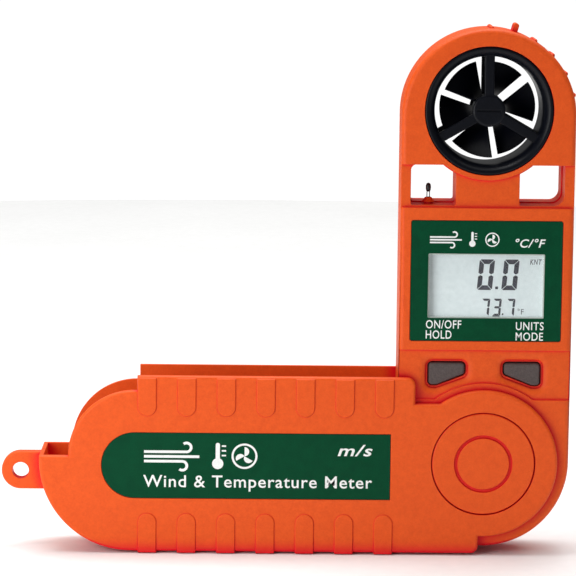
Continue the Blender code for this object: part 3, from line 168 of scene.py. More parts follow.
def filleted(corners, step=9.0, steps=None):
    """A closed outline through (x, z, radius) corners, each one rounded by its radius.

    An outline for a loft has the same number of steps at every corner, so that its rings match.
    """
    outline = []
    for i, (x, z, radius) in enumerate(corners):
        here = Vector((x, z))
        before = (Vector(corners[i - 1][:2]) - here).normalized()
        after = (Vector(corners[(i + 1) % len(corners)][:2]) - here).normalized()
        half = before.angle(after) / 2
        centre = here + (before + after).normalized() * radius / math.sin(half)
        start = here + before * radius / math.tan(half) - centre
        end = here + after * radius / math.tan(half) - centre
        first = math.atan2(start.y, start.x)
        turn = (math.atan2(end.y, end.x) - first + math.pi) % math.tau - math.pi
        count = max(1, math.ceil(math.degrees(abs(turn)) / step - 0.01)) if radius else 0
        count = steps or count
        for k in range(count + 1):
            angle = first + turn * k / max(1, count)
            outline.append((centre.x + radius * math.cos(angle), centre.y + radius * math.sin(angle)))
    return outline


def oblong(left, right, bottom, top, radius=0.0, radii=None):
    """A rectangle with its corners rounded: bottom left, bottom right, top right, top left."""
    a, b, c, d = radii or (radius,) * 4
    return filleted([(left, bottom, a), (right, bottom, b), (right, top, c), (left, top, d)])


def signed_area(outline):
    pairs = zip(outline, outline[1:] + outline[:1])
    return sum(x0 * z1 - x1 * z0 for (x0, z0), (x1, z1) in pairs) / 2


def on_bench(name, mesh):
    obj = bpy.data.objects.new(name, mesh)
    bpy.context.scene.collection.objects.link(obj)
    return obj


def mesh_of(obj):
    """The mesh that an object makes with its modifiers, or that a curve or a text draws."""
    bpy.context.view_layer.update()
    graph = bpy.context.evaluated_depsgraph_get()
    return bpy.data.meshes.new_from_object(obj.evaluated_get(graph))


def applied(obj):
    """Gives an object the mesh that its modifiers make, and removes them."""
    mesh = mesh_of(obj)
    obj.modifiers.clear()
    obj.data = mesh
    return obj


def drawn(name, curve):
    """The mesh of a curve or of a line of text."""
    drawing = on_bench(name + "_drawing", curve)
    mesh = mesh_of(drawing)
    bpy.data.objects.remove(drawing)
    return mesh


def modelled(name, shape):
    """The object that a finished bmesh makes."""
    mesh = bpy.data.meshes.new(name)
    shape.to_mesh(mesh)
    shape.free()
    return on_bench(name, mesh)


def tidied(mesh, weld=0.002, flat=0.4):
    """Welds a mesh, joins faces within the flat angle of each other and turns them outwards."""
    shape = bmesh.new()
    shape.from_mesh(mesh)
    bmesh.ops.remove_doubles(shape, verts=shape.verts, dist=weld)
    if flat:
        limit = math.radians(flat)
        bmesh.ops.dissolve_limit(shape, angle_limit=limit, verts=shape.verts, edges=shape.edges)
    bmesh.ops.recalc_face_normals(shape, faces=shape.faces)
    shape.to_mesh(mesh)
    shape.free()


def plate(name, outlines, front, back, soften=0.0):
    """A plate between y=front and y=back with rounded rims.

    The first outline is its rim, and the others are holes.
    """
    curve = bpy.data.curves.new(name, "CURVE")
    curve.dimensions = "2D"
    curve.fill_mode = "BOTH"
    curve.bevel_depth = soften
    curve.bevel_resolution = 3
    curve.offset = -soften
    curve.extrude = (back - front) / 2 - soften
    for i, outline in enumerate(outlines):
        rim = i == 0
        points = outline if (signed_area(outline) > 0) == rim else outline[::-1]
        spline = curve.splines.new("POLY")
        spline.points.add(len(points) - 1)
        for point, (x, z) in zip(spline.points, points):
            point.co = (x, z, 0, 1)
        spline.use_cyclic_u = True
    mesh = drawn(name, curve)
    upright = Matrix.Translation((0, (front + back) / 2, 0)) @ Matrix.Rotation(math.pi / 2, 4, "X")
    mesh.transform(upright)
    mesh.name = name
    tidied(mesh)
    return on_bench(name, mesh)


def lofted(name, levels):
    """A solid through outlines of the same number of points, each at its own Y, closed at both ends."""
    shape = bmesh.new()
    rings = [[shape.verts.new((x, y, z)) for x, z in outline] for y, outline in levels]
    for near, far in zip(rings, rings[1:]):
        for i in range(len(near)):
            shape.faces.new((near[i - 1], near[i], far[i], far[i - 1]))
    shape.faces.new(rings[0])
    shape.faces.new(rings[-1])
    bmesh.ops.recalc_face_normals(shape, faces=shape.faces)
    return modelled(name, shape)


def block(name, low, high):
    """A box between two corners."""
    shape = bmesh.new()
    bmesh.ops.create_cube(shape, size=1)
    low, high = Vector(low), Vector(high)
    bmesh.ops.scale(shape, vec=high - low, verts=shape.verts)
    bmesh.ops.translate(shape, vec=(low + high) / 2, verts=shape.verts)
    return modelled(name, shape)


def turned(name, profile, x=0.0, z=0.0, closed=False, steps=96, upright_y=None):
    """A turned shape from (radius, y) pairs, on an axis along Y through x, z.

    Given an upright_y, its axis stands along Z at that Y instead.
    """
    shape = bmesh.new()
    points = [shape.verts.new((radius, y, 0)) for radius, y in profile]
    pairs = list(zip(points, points[1:])) + ([(points[-1], points[0])] if closed else [])
    edges = [shape.edges.new(pair) for pair in pairs]
    whole = {"geom": points + edges, "cent": (0, 0, 0), "axis": (0, 1, 0), "angle": math.tau}
    bmesh.ops.spin(shape, **whole, steps=steps, use_merge=True)
    bmesh.ops.remove_doubles(shape, verts=shape.verts, dist=0.001)
    bmesh.ops.recalc_face_normals(shape, faces=shape.faces)
    obj = modelled(name, shape)
    if upright_y is not None:
        moved(obj, Matrix.Translation((0, upright_y, 0)) @ Matrix.Rotation(math.pi / 2, 4, "X"))
    return moved(obj, Matrix.Translation((x, 0, z)))


def rod(name, radius, front, back, x=0.0, z=0.0, steps=96):
    return turned(name, [(0, front), (radius, front), (radius, back), (0, back)], x, z, steps=steps)


def wire(name, points, radius):
    """A round wire through the points, closed at both ends."""
    curve = bpy.data.curves.new(name, "CURVE")
    curve.dimensions = "3D"
    curve.bevel_depth = radius
    curve.bevel_resolution = 3
    curve.use_fill_caps = True
    spline = curve.splines.new("POLY")
    spline.points.add(len(points) - 1)
    for point, place_on_bench in zip(spline.points, points):
        point.co = (*place_on_bench, 1)
    mesh = drawn(name, curve)
    tidied(mesh)
    return on_bench(name, mesh)


def moved(obj, matrix):
    obj.data.transform(matrix)
    return obj


def about_dome(angle):
    """Turns a shape drawn at three o'clock on the dome to an angle, anticlockwise from the front."""
    return Matrix.Translation((0, 0, DOME_Z)) @ Matrix.Rotation(-math.radians(angle), 4, "Y")


def worked(target, tools, operation="DIFFERENCE"):
    """Cuts the tools from the target, or adds them to it, one after another.

    Each cut leaves hairline cracks, which are closed before the next one.
    """
    for tool in tools:
        step = target.modifiers.new(tool.name, "BOOLEAN")
        step.operation = operation
        step.object = tool
        step.solver = "EXACT"
        applied(target)
        bpy.data.objects.remove(tool)
        shape = bmesh.new()
        shape.from_mesh(target.data)
        bmesh.ops.remove_doubles(shape, verts=shape.verts, dist=CRACK)
        bmesh.ops.dissolve_degenerate(shape, dist=CRACK, edges=shape.edges)
        shape.to_mesh(target.data)
        shape.free()
    return target


def joined(name, objects):
    """Several meshes as one."""
    shape = bmesh.new()
    for obj in objects:
        shape.from_mesh(obj.data)
        bpy.data.objects.remove(obj)
    return modelled(name, shape)


def smoothed(obj, sharp=40):
    """Smooth shading that stays flat on flat faces."""
    obj.data.shade_smooth()
    obj.data.set_sharp_from_angle(angle=math.radians(sharp))
    weighted = obj.modifiers.new("weighted", "WEIGHTED_NORMAL")
    weighted.keep_sharp = True
    return applied(obj)


def softened(obj, width, angle=38, segments=2):
    """Takes the sharpness off the edges that cutting left, as a mould does.

    A point that the bevel throws farther than its width off the skin goes back to the skin.
    """
    tidied(obj.data, 0.01)
    cut = bmesh.new()
    cut.from_mesh(obj.data)
    skin = BVHTree.FromBMesh(cut)
    cut.free()
    bevel = obj.modifiers.new("soften", "BEVEL")
    bevel.width = width
    bevel.segments = segments
    bevel.limit_method = "ANGLE"
    bevel.angle_limit = math.radians(angle)
    bevel.use_clamp_overlap = False
    applied(obj)
    for vertex in obj.data.vertices:
        nearest, _, _, distance = skin.find_nearest(vertex.co)
        if distance > width:
            vertex.co = nearest
    return smoothed(obj)


def place(obj, body, slot, finish, *nodes):
    """Takes a finished piece off the bench and puts it in the frame on its body."""
    obj.data.transform(TO_FRAME)
    obj.data.materials.clear()
    obj.data.materials.append(finish)
    if nodes:
        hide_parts(*nodes)
    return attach(obj, body)


# Node trees


def add(tree, kind, inputs=(), **settings):
    """Adds a node with its settings, its constants and its links."""
    made = tree.nodes.new(kind)
    for name, value in settings.items():
        setattr(made, name, value)
    for key, value in dict(inputs).items():
        if isinstance(value, bpy.types.NodeSocket):
            tree.links.new(value, made.inputs[key])
        else:
            made.inputs[key].default_value = value
    return made


def linear(code):
    """An sRGB hex colour as linear RGBA."""
    channels = [int(code[i : i + 2], 16) / 255 for i in (1, 3, 5)]
    return (*[c / 12.92 if c <= 0.04045 else ((c + 0.055) / 1.055) ** 2.4 for c in channels], 1.0)


def per(millimetres):
    """Pattern scale for a feature of that size, on Object coordinates in metres."""
    return 1 / (millimetres * MM)


def geometry_tree(name, inputs):
    """A geometry tree with the given input sockets, and what its input node offers."""
    tree = bpy.data.node_groups.new(name, "GeometryNodeTree")
    for label, kind in inputs:
        tree.interface.new_socket(label, in_out="INPUT", socket_type="NodeSocket" + kind)
    tree.interface.new_socket("Result", in_out="OUTPUT", socket_type="NodeSocketGeometry")
    return tree, add(tree, "NodeGroupInput").outputs


def stand_on_points(tree, given, points, shape, first_turn):
    """Stands a shape on every point, each turned further about Y than the last."""
    index = add(tree, "GeometryNodeInputIndex")
    terms = {0: index.outputs[0], 1: given["Turn"], 2: first_turn}
    angle = add(tree, "ShaderNodeMath", terms, operation="MULTIPLY_ADD")
    radians = add(tree, "ShaderNodeMath", {0: angle.outputs[0]}, operation="RADIANS")
    about_y = add(tree, "ShaderNodeCombineXYZ", {"Y": radians.outputs[0]})
    where = {"Points": points, "Instance": shape, "Rotation": about_y.outputs[0]}
    stood = add(tree, "GeometryNodeInstanceOnPoints", where)
    real = add(tree, "GeometryNodeRealizeInstances", {"Geometry": stood.outputs[0]})
    coated = {"Geometry": real.outputs[0], "Material": given["Finish"]}
    finished = add(tree, "GeometryNodeSetMaterial", coated)
    add(tree, "NodeGroupOutput", {"Result": finished.outputs[0]})
    return tree


def copies_tree():
    """Copies of a shape, each a step and a turn on from the last: ribs, ridges, blades and spokes."""
    inputs = [("Shape", "Geometry"), ("Count", "Int"), ("Step", "Vector")]
    inputs += [("First Turn", "Float"), ("Turn", "Float"), ("Finish", "Material")]
    tree, given = geometry_tree("copies", inputs)
    line = add(tree, "GeometryNodeMeshLine", {"Count": given["Count"], "Offset": given["Step"]})
    return stand_on_points(tree, given, line.outputs["Mesh"], given["Shape"], given["First Turn"])


def set_out_tree():
    """A shape stood on every point of a mesh, each turned a little further: the case screws."""
    inputs = [("Points", "Geometry"), ("Shape", "Object"), ("Turn", "Float"), ("Finish", "Material")]
    tree, given = geometry_tree("set_out", inputs)
    shape = add(tree, "GeometryNodeObjectInfo", {"Object": given["Shape"]})
    return stand_on_points(tree, given, given["Points"], shape.outputs["Geometry"], 0.0)


def by_nodes(obj, tree, **values):
    """Runs a geometry tree on an object, with its inputs set by name, and keeps the mesh."""
    modifier = obj.modifiers.new(tree.name, "NODES")
    modifier.node_group = tree
    for item in tree.interface.items_tree:
        key = item.name.lower().replace(" ", "_")
        if item.item_type == "SOCKET" and item.in_out == "INPUT" and key in values:
            modifier[item.identifier] = values[key]
    return applied(obj)


COPIES = copies_tree()
SET_OUT = set_out_tree()


# Finishes


def surface(name, colour, shade, roughness, spread, mottle, grain, relief, crevice_shade=None, **constants):
    """A solid finish with a slow drift of colour, a fine grain and uneven gloss, sized in millimetres.

    A crevice shade is painted shade and painted bounced light: a deeper colour laid into grooves
    and corners, and how far from a wall that starts. It stands in for shade and for light bounced between
    red walls.
    """
    material = bpy.data.materials.new(name)
    material.use_nodes = True
    tree = material.node_tree
    shader = tree.nodes["Principled BSDF"]
    place_on = add(tree, "ShaderNodeTexCoord").outputs["Object"]
    drift = add(tree, "ShaderNodeTexNoise", {"Vector": place_on, "Scale": per(mottle), "Detail": 4.0})
    fine = add(tree, "ShaderNodeTexNoise", {"Vector": place_on, "Scale": per(grain), "Detail": 2.0})
    both = add(tree, "ShaderNodeMath", {0: drift.outputs["Fac"], 1: fine.outputs["Fac"]}, operation="ADD")
    amount = add(tree, "ShaderNodeMapRange", {"Value": both.outputs[0], "From Min": 0.7, "From Max": 1.3})
    colours = {0: amount.outputs[0], 6: linear(colour), 7: linear(shade)}
    tint = add(tree, "ShaderNodeMix", colours, data_type="RGBA")
    gloss = add(
        tree,
        "ShaderNodeMapRange",
        {"Value": fine.outputs["Fac"], "To Min": roughness - spread, "To Max": roughness + spread},
    )
    heights = {"Height": fine.outputs["Fac"], "Strength": 1.0, "Distance": relief * MM}
    bump = add(tree, "ShaderNodeBump", heights)
    base = tint.outputs[2]
    # Painted shade: where ambient occlusion finds walls close by, the base colour turns towards the deeper
    # crevice colour.
    if crevice_shade:
        painted_shade_colour, reach = crevice_shade
        shelter = add(tree, "ShaderNodeAmbientOcclusion", {"Distance": reach * MM}, samples=12)
        open_to_shut = {"Value": shelter.outputs["AO"], "From Min": 0.9, "From Max": 0.6}
        depth = add(tree, "ShaderNodeMapRange", open_to_shut)
        colours = {0: depth.outputs[0], 6: base, 7: linear(painted_shade_colour)}
        base = add(tree, "ShaderNodeMix", colours, data_type="RGBA").outputs[2]
    tree.links.new(base, shader.inputs["Base Color"])
    tree.links.new(gloss.outputs[0], shader.inputs["Roughness"])
    tree.links.new(bump.outputs[0], shader.inputs["Normal"])
    for key, value in constants.items():
        shader.inputs[key.replace("_", " ").title().replace("Ior", "IOR")].default_value = value
    return material


# ABS moulded against a spark-eroded tool: a satin skin whose fine pimples break up the highlights.
# The real grain is about 0.1 mm; it is drawn at 0.45 mm so that it still shows.
# Its grooves and corners are painted a deep red: painted shade and painted bounced light, not a colour of
# the plastic.
orange_abs = surface(
    "spark_textured_orange_abs", "#E6591B", "#DB5017", 0.46, 0.08, 1.6, 0.45, 0.02,
    crevice_shade=("#DC101E", 5.0), specular_ior_level=0.2
)
# Black mouldings with little shine: the fan's duct and bridge are satin, the wheel is darker still.
black_abs = surface(
    "satin_black_abs", "#06080F", "#0B0D15", 0.34, 0.06, 2.2, 0.5, 0.006, specular_ior_level=0.15
)
wheel_abs = surface(
    "polished_black_abs", "#020309", "#05060D", 0.36, 0.05, 2.5, 0.6, 0.004, specular_ior_level=0.08
)
# Polyester film printed on its back: deep green under a faint velvet texture.
green_film = surface(
    "printed_green_polyester", "#00462A", "#003D25", 0.42, 0.05, 3.0, 0.35, 0.003, specular_ior_level=0.08
)
white_ink = surface(
    "screen_printed_white_ink", "#F4F6F4", "#E6EAE7", 0.55, 0.05, 0.9, 0.25, 0.002, specular_ior_level=0.2
)
# Silicone keys: matt, with the pale specks of filler that show on worn rubber.
grey_rubber = surface(
    "moulded_grey_silicone_rubber", "#5F5654", "#4F4746", 0.72, 0.08, 0.6, 0.28, 0.02,
    specular_ior_level=0.15
)
dark_silicone = surface("dark_silicone_rubber", "#1B1B1C", "#242425", 0.65, 0.08, 0.9, 0.3, 0.01)
# The reflective film behind a liquid crystal cell: pale blue-grey with a faint sparkle.
lcd_film = surface(
    "reflective_lcd_film", "#E2EBEE", "#D7E1E4", 0.40, 0.08, 1.1, 0.22, 0.002, specular_ior_level=0.2
)
lcd_ink = surface(
    "liquid_crystal_segment", "#12131C", "#303244", 0.35, 0.05, 0.8, 0.3, 0.001, specular_ior_level=0.1
)
pale_frame = surface("pale_display_frame_abs", "#C9D2CC", "#BAC4BD", 0.5, 0.06, 1.2, 0.35, 0.004)
laminate = surface("green_glass_epoxy_laminate", "#0E4A2A", "#0A3A20", 0.38, 0.08, 1.4, 0.4, 0.006)
black_epoxy = surface("moulded_black_epoxy", "#141416", "#1C1C1F", 0.55, 0.08, 0.8, 0.25, 0.008)
# Metals
brass = surface("rolled_contact_brass", "#C9A04A", "#B88F3E", 0.30, 0.06, 1.5, 0.3, 0.003, metallic=1.0)
screw_steel = surface(
    "zinc_plated_screw_steel", "#B9BBBD", "#A4A6A9", 0.32, 0.08, 1.0, 0.2, 0.004, metallic=1.0
)
cell_steel = surface(
    "nickel_plated_cell_steel", "#C8C8C4", "#B6B6B2", 0.24, 0.06, 2.0, 0.25, 0.002, metallic=1.0
)
shaft_steel = surface(
    "ground_shaft_steel", "#C4C6C8", "#B2B4B7", 0.18, 0.05, 0.6, 0.15, 0.001, metallic=1.0
)
magnet_metal = surface(
    "nickel_plated_magnet", "#9A9A98", "#868684", 0.30, 0.06, 0.8, 0.2, 0.002, metallic=1.0
)
copper = surface("enamelled_copper_wire", "#A8552C", "#8E4422", 0.35, 0.08, 0.5, 0.12, 0.01, metallic=1.0)
# Clear and hard pieces, and the paper that the meter stands on
ruby = surface("synthetic_ruby", "#8E0E2A", "#6E0A20", 0.08, 0.03, 0.8, 0.2, 0.001, ior=1.77)
bead_epoxy = surface("dipped_black_epoxy_bead", "#0C0B0E", "#151317", 0.28, 0.06, 0.7, 0.3, 0.006)
lens_acrylic = surface(
    "clear_cast_acrylic", "#FDFEFD", "#F8FAF9", 0.05, 0.02, 4.0, 1.0, 0.0004,
    transmission_weight=1.0, ior=1.49
)
white_floor = surface("matt_white_studio_paper", "#F3F3F2", "#EEEEED", 0.85, 0.05, 60.0, 4.0, 0.01)

for finish, nodes in (
    (dark_silicone, "shell_gasket zebra_strip_upper zebra_strip_lower battery_cap_ring"),
    (laminate, "circuit_board"),
    (black_epoxy, "display_driver_chip tact_switch_left tact_switch_right"),
    (cell_steel, "coin_cell"),
    (brass, "contact_negative contact_positive"),
    (ruby, "jewel_front jewel_rear"),
    (copper, "pickup_coil pickup_wire"),
    (magnet_metal, "rotor_magnet"),
    (shaft_steel, "rotor_shaft"),
):
    for node in nodes.split():
        for material_slot in frame["nodes"][node].material_slots:
            material_slot.material = finish


# Outlines


def case_outline():
    """Round foot about the pivot, straight sides and a dome."""
    return arc(0, 0, HALF_WIDTH, 180, 360) + arc(0, DOME_Z, HALF_WIDTH, 0, 180)


def key_outline(grow, side, corner=0.85):
    """A key with a tall outer side and a foot that slopes up towards the middle of the case."""
    half, top, short = 4.4 + grow, 2.75 + grow, 0.05 - grow
    corners = [
        (-half, -top, corner + grow),
        (-half + 1.9 + grow, -top, corner + grow),
        (half, short, corner + grow),
        (half, top, corner + grow),
        (-half, top, corner + grow),
    ]
    placed = [(x if side < 0 else -x, z, radius) for x, z, radius in corners]
    return [(x + side * KEY_X, z + KEY_Z) for x, z in filleted(placed, steps=9)]


def window_outline(side, grow=0.0):
    top = AIR_ZONE[1]
    if side < 0:
        return oblong(-PILLAR_X - grow, -NECK_HALF, WINDOW_BOTTOM - grow, top, radii=(0.7, 0.5, 1.1, 1.5))
    return oblong(NECK_HALF, PILLAR_X + grow, WINDOW_BOTTOM - grow, top, radii=(0.5, 2.5 + grow, 0.6, 0.5))


def cover_outline():
    """From the end of the spine round the far end, the cut-out and the shoulder to the pivot lobe."""
    end_angle = 180 - math.degrees(math.asin(1.2 / COVER_DROP))
    lobe_start = 180 - math.degrees(math.asin(14.9 / LOBE_RADIUS))
    lobe_end = -90 - math.degrees(math.asin(0.9 / LOBE_RADIUS))
    corner = arc(-2.7, 1.8 - COVER_DROP, 1.8, 0, -90, 9)
    end = arc(COVER_END_X, 0, COVER_DROP, -90, end_angle - 360)
    cutout = arc(-86.1, 1.2, 16.5, 180, 90)
    shoulder = arc(-19.0, COVER_EDGE - 2.0, 2.0, 90, 0, 15)
    steps = [(-85.5, 17.7), (-85.5, COVER_EDGE)] + shoulder + [(-17.0, 14.9)]
    return corner + end + cutout + steps + arc(0, 0, LOBE_RADIUS, lobe_start, lobe_end)


def cover_film_outline(shrink):
    """Half round at the loop end and square at the pivot end."""
    radius = 8.3 - shrink
    right = -22.9 - shrink
    return arc(-86.1, -1.0, radius, 90, 270) + [(right, -1.0 - radius), (right, radius - 1.0)]


def rim(radius, face, soften, back):
    """Profile of a round boss from the middle of its face over a rounded edge to its back."""
    inward = 1 if back > face else -1
    corner = [
        (radius - soften * (1 - math.sin(a)), face + inward * soften * (1 - math.cos(a)))
        for a in [math.radians(15 * i) for i in range(7)]
    ]
    return [(0, face)] + corner + [(radius, back), (0, back)]


# Case


def dome_ridges():
    """The low ridges that a thumb pushes on: five of the six places, as the catch takes the sixth."""
    rows = []
    for count, first in ((4, 14), (1, 89)):
        profile = [(0, -4.6), (0.3, -4.55), (0.5, -4.35), (0.58, -4.1)]
        profile += [(radius, -y) for radius, y in profile[::-1]]
        ridge = turned(f"dome_ridge_{first}", profile, x=HALF_WIDTH, steps=24)
        by_nodes(ridge, COPIES, count=count, step=(0, 0, 0), first_turn=-first, turn=-15.0)
        rows.append(moved(ridge, Matrix.Translation((0, 0, DOME_Z))))
    return rows


def cut_air_way(case, front, back):
    """The fan's seat, the two air windows and the shallow step round them, in either half of the case."""
    outer = front if front < 0 else back
    tools = [rod("fan_seat", FAN_SEAT, -FACE - PAST, FACE + PAST, z=FAN_Z)]
    for side in (-1, 1):
        grow = 0.35 if front < 0 else 0.0
        window = plate("air_window", [window_outline(side, grow)], -FACE - PAST, FACE + PAST)
        boss = rod("window_boss", WINDOW_BOSS, -FACE - 2 * PAST, FACE + 2 * PAST, z=FAN_Z)
        tools.append(worked(window, [boss]))
    into = AIR_ZONE_DEPTH if front < 0 else -AIR_ZONE_DEPTH
    low, high = sorted((outer + into, outer - into * 3))
    far = HALF_WIDTH + PAST
    zone = block("air_zone", (-far, low, AIR_ZONE[0]), (far, high, AIR_ZONE[1]))
    boss = rod("zone_boss", FAN_BOSS, low - PAST, high + PAST, z=FAN_Z)
    tools.append(worked(zone, [boss]))
    return worked(case, tools)


def grommet_hole():
    """The upright bore for the sensor's grommet, which both halves of the case share."""
    profile = [(0, 55.4), (1.25, 55.4), (1.25, 66.3), (0, 66.3)]
    return turned("grommet_hole", profile, x=SENSOR_X, steps=32, upright_y=SENSOR_Y)


def key_dish(side):
    """The soft hollow round a key: deepest beside it, and rising in a curve to the flat of the zone."""
    zone_floor = -FACE + KEY_ZONE_DEPTH
    rings = 8
    levels = []
    for i in range(rings + 1):
        turn = math.pi / 2 * i / rings
        level = SCOOP_FLOOR + (zone_floor - SCOOP_FLOOR) * math.sin(turn)
        levels.append((level, key_outline(0.7 + 2.0 * (1 - math.cos(turn)), side)))
    levels.append((-FACE - PAST, key_outline(5.2, side)))
    return lofted("key_dish", levels)


def front_case():
    case = plate("front_case", [case_outline()], -FACE, FACE, CASE_SOFTEN)
    peg = plate(
        "thumb_catch",
        [oblong(HALF_WIDTH - 2, HALF_WIDTH + 2.16, -0.7, 0.7, radii=(0, 0.65, 0.65, 0))],
        -4.6,
        -0.2,
        0.25,
    )
    moved(peg, about_dome(74))
    boss = turned("front_boss", rim(BOSS_RADIUS, -BOSS_FACE, BOSS_EDGE, -FACE + PAST))
    worked(case, dome_ridges() + [peg, boss], "UNION")
    far = HALF_WIDTH + DOME_Z + 2 * PAST
    worked(case, [block("behind_seam", (-far, -SEAM / 2, -far), (far, FACE + PAST, far))])
    cut_air_way(case, -FACE, 0)
    film = oblong(film_low.x - 0.1, film_high.x + 0.1, film_low.z - 0.1, film_high.z + 0.1, 0.6)
    half, bottom, top = APERTURE
    groove = [(6.4, -BOSS_FACE - 1), (7.2, -BOSS_FACE - 1), (7.2, -BOSS_FACE + 0.45)]
    groove += [(7.0, -BOSS_FACE + 0.6), (6.6, -BOSS_FACE + 0.6), (6.4, -BOSS_FACE + 0.45)]
    upper_low = (-CAVITY_HALF, -FACE + WALL, KEY_ZONE[1])
    lower_low = (-CAVITY_HALF, KEY_SEAT, CAVITY_BOTTOM)
    worked(
        case,
        [
            plate("film_recess", [film], -FACE - PAST, -FACE + FILM_RECESS),
            block("aperture", (-half, -FACE - PAST, bottom), (half, 0, top)),
            block("upper_hollow", upper_low, (CAVITY_HALF, PAST, CAVITY_TOP)),
            block("lower_hollow", lower_low, (CAVITY_HALF, PAST, 28.3)),
            turned("boss_groove", groove, closed=True),
        ],
    )
    far = HALF_WIDTH + PAST
    zone_floor = -FACE + KEY_ZONE_DEPTH
    zone = block("key_zone", (-far, -FACE - PAST, KEY_ZONE[0]), (far, zone_floor, KEY_ZONE[1]))
    tools = [worked(zone, [rod("land", LAND_RADIUS, -FACE - 2 * PAST, 0)])]
    for side in (-1, 1):
        tools.append(worked(key_dish(side), [rod("land", LAND_RADIUS, -FACE - 2 * PAST, 0)]))
        tools.append(plate("key_hole", [key_outline(0.3, side)], -FACE - PAST, 0))
    tools.append(grommet_hole())
    worked(case, tools)
    return place(softened(case, MOULD_EDGE), "meter", "orange_abs", orange_abs, "front_shell")


def back_case():
    case = plate("back_case", [case_outline()], -FACE, FACE, CASE_SOFTEN)
    boss = turned("back_boss", rim(BOSS_RADIUS, BOSS_FACE, BOSS_EDGE, FACE - PAST))
    worked(case, dome_ridges() + [boss], "UNION")
    far = HALF_WIDTH + DOME_Z + 2 * PAST
    worked(case, [block("before_seam", (-far, -FACE - PAST, -far), (far, SEAM / 2, far))])
    cut_air_way(case, 0, FACE)
    shelf = BOSS_FACE - 1.55
    tools = [
        block("back_hollow", (-CAVITY_HALF, -PAST, CAVITY_BOTTOM), (CAVITY_HALF, FACE - WALL, CAVITY_TOP)),
        rod("cell_pocket", 10.35, cell_front - 0.7, BOSS_FACE + PAST),
        rod("cap_seat", 11.15, shelf, BOSS_FACE + PAST),
    ]
    for x, z in SCREW_PLACES:
        tools.append(rod("shank_hole", 0.85, -PAST, FACE - 1.0, x, z, steps=24))
        tools.append(rod("head_hole", 1.6, FACE - 1.5, FACE + PAST, x, z, steps=48))
    tools.append(grommet_hole())
    worked(case, tools)
    return place(softened(case, MOULD_EDGE), "meter", "orange_abs", orange_abs, "back_shell")


def case_screws():
    """Pan-head screws with a cross recess, driven from the back and each stopped at its own turn."""
    head = FACE - 0.3
    profile = [(0, head), (0.7, head - 0.02), (1.15, head - 0.16), (1.4, head - 0.42)]
    profile.append((1.45, head - 0.6))
    profile += [(1.45, head - 1.1), (0.7, head - 1.1), (0.7, -3.2), (0.45, -3.75), (0, -4.0)]
    screw = turned("case_screw", profile[::-1], steps=32)
    across = [
        block("recess_a", (-0.85, head - 0.55, -0.17), (0.85, head + 1, 0.17)),
        block("recess_b", (-0.17, head - 0.55, -0.85), (0.17, head + 1, 0.85)),
    ]
    worked(across[0], [across[1]], "UNION")
    worked(screw, [across[0]])
    softened(screw, 0.03)
    mesh = bpy.data.meshes.new("case_screws")
    mesh.from_pydata([(x, 0, z) for x, z in SCREW_PLACES], [], [])
    screws = on_bench("case_screws", mesh)
    by_nodes(screws, SET_OUT, shape=screw, turn=37.0, finish=screw_steel)
    bpy.data.objects.remove(screw)
    names = [f"body_screw_{i + 1}" for i in range(len(SCREW_PLACES))]
    return place(smoothed(screws), "meter", "screw_steel", screw_steel, *names)


def battery_lid():
    """A coin-slot lid with a plain rim, a slot and an arrow that shows which way it opens."""
    face, radius = cap_high.y, cap_high.x
    shoulder, foot = face - 1.4, cap_low.y
    plug = 10.2
    groove = (shoulder + foot) / 2
    profile = rim(radius, face, 0.35, shoulder)[:-1]
    profile += [(plug, shoulder), (plug, groove + 0.5), (plug - 0.75, groove + 0.5)]
    profile += [(plug - 0.75, groove - 0.5), (plug, groove - 0.5), (plug, foot), (0, foot)]
    lid = turned("battery_lid", profile)
    slot = plate("coin_slot", [oblong(-7.0, 7.0, -0.9, 0.9, 0.45)], face - 0.9, face + 1)
    bend = arc(0, 0, 8.9, 25, 65) + arc(0, 0, 8.5, 65, 25)
    end = math.radians(65)
    head = []
    for way, reach in ((155, 1.5), (65, 0.9), (-115, 0.9)):
        a = math.radians(way)
        head.append((8.7 * math.cos(end) + reach * math.cos(a), 8.7 * math.sin(end) + reach * math.sin(a)))
    arrow = [plate("arrow_bend", [bend], face - 0.25, face + 1)]
    arrow.append(plate("arrow_head", [head], face - 0.25, face + 1))
    worked(lid, [slot] + arrow)
    return place(softened(lid, 0.08), "battery_cover", "orange_abs", orange_abs, "battery_cap")


# Keys and display


def keys():
    for side, word in ((-1, "left"), (1, "right")):
        stem_end = span(f"button_{word}")[1].y
        shoulder = KEY_TOP + KEY_ROUND
        levels = [(SCOOP_FLOOR + 2.6, key_outline(0, side)), (shoulder, key_outline(0, side))]
        for turn in range(15, 91, 15):
            a = math.radians(turn)
            inset = KEY_ROUND * (1 - math.cos(a))
            levels.append((shoulder - KEY_ROUND * math.sin(a), key_outline(-inset, side)))
        key = lofted(f"key_{word}", levels)
        foot = plate("key_flange", [key_outline(1.0, side, 0.9)], KEY_SEAT + 0.1, KEY_SEAT + 0.8)
        stem = rod("key_stem", 1.3, KEY_SEAT + 0.4, stem_end, side * KEY_X, KEY_Z, steps=32)
        worked(key, [foot, stem], "UNION")
        softened(key, 0.06, angle=50)
        place(key, f"key_{word}", "grey_rubber", grey_rubber, f"button_{word}")


def fitted(obj, left, right, bottom, top, front):
    """Sizes flat artwork drawn in X and Z to fill a rectangle, and gives it the thickness of ink."""
    for axis, start, size in ((0, left, right - left), (1, front, INK), (2, bottom, top - bottom)):
        places = [v.co[axis] for v in obj.data.vertices]
        first = min(places)
        scale = size / (max(places) - first)
        for v in obj.data.vertices:
            v.co[axis] = start + (v.co[axis] - first) * scale
    return obj


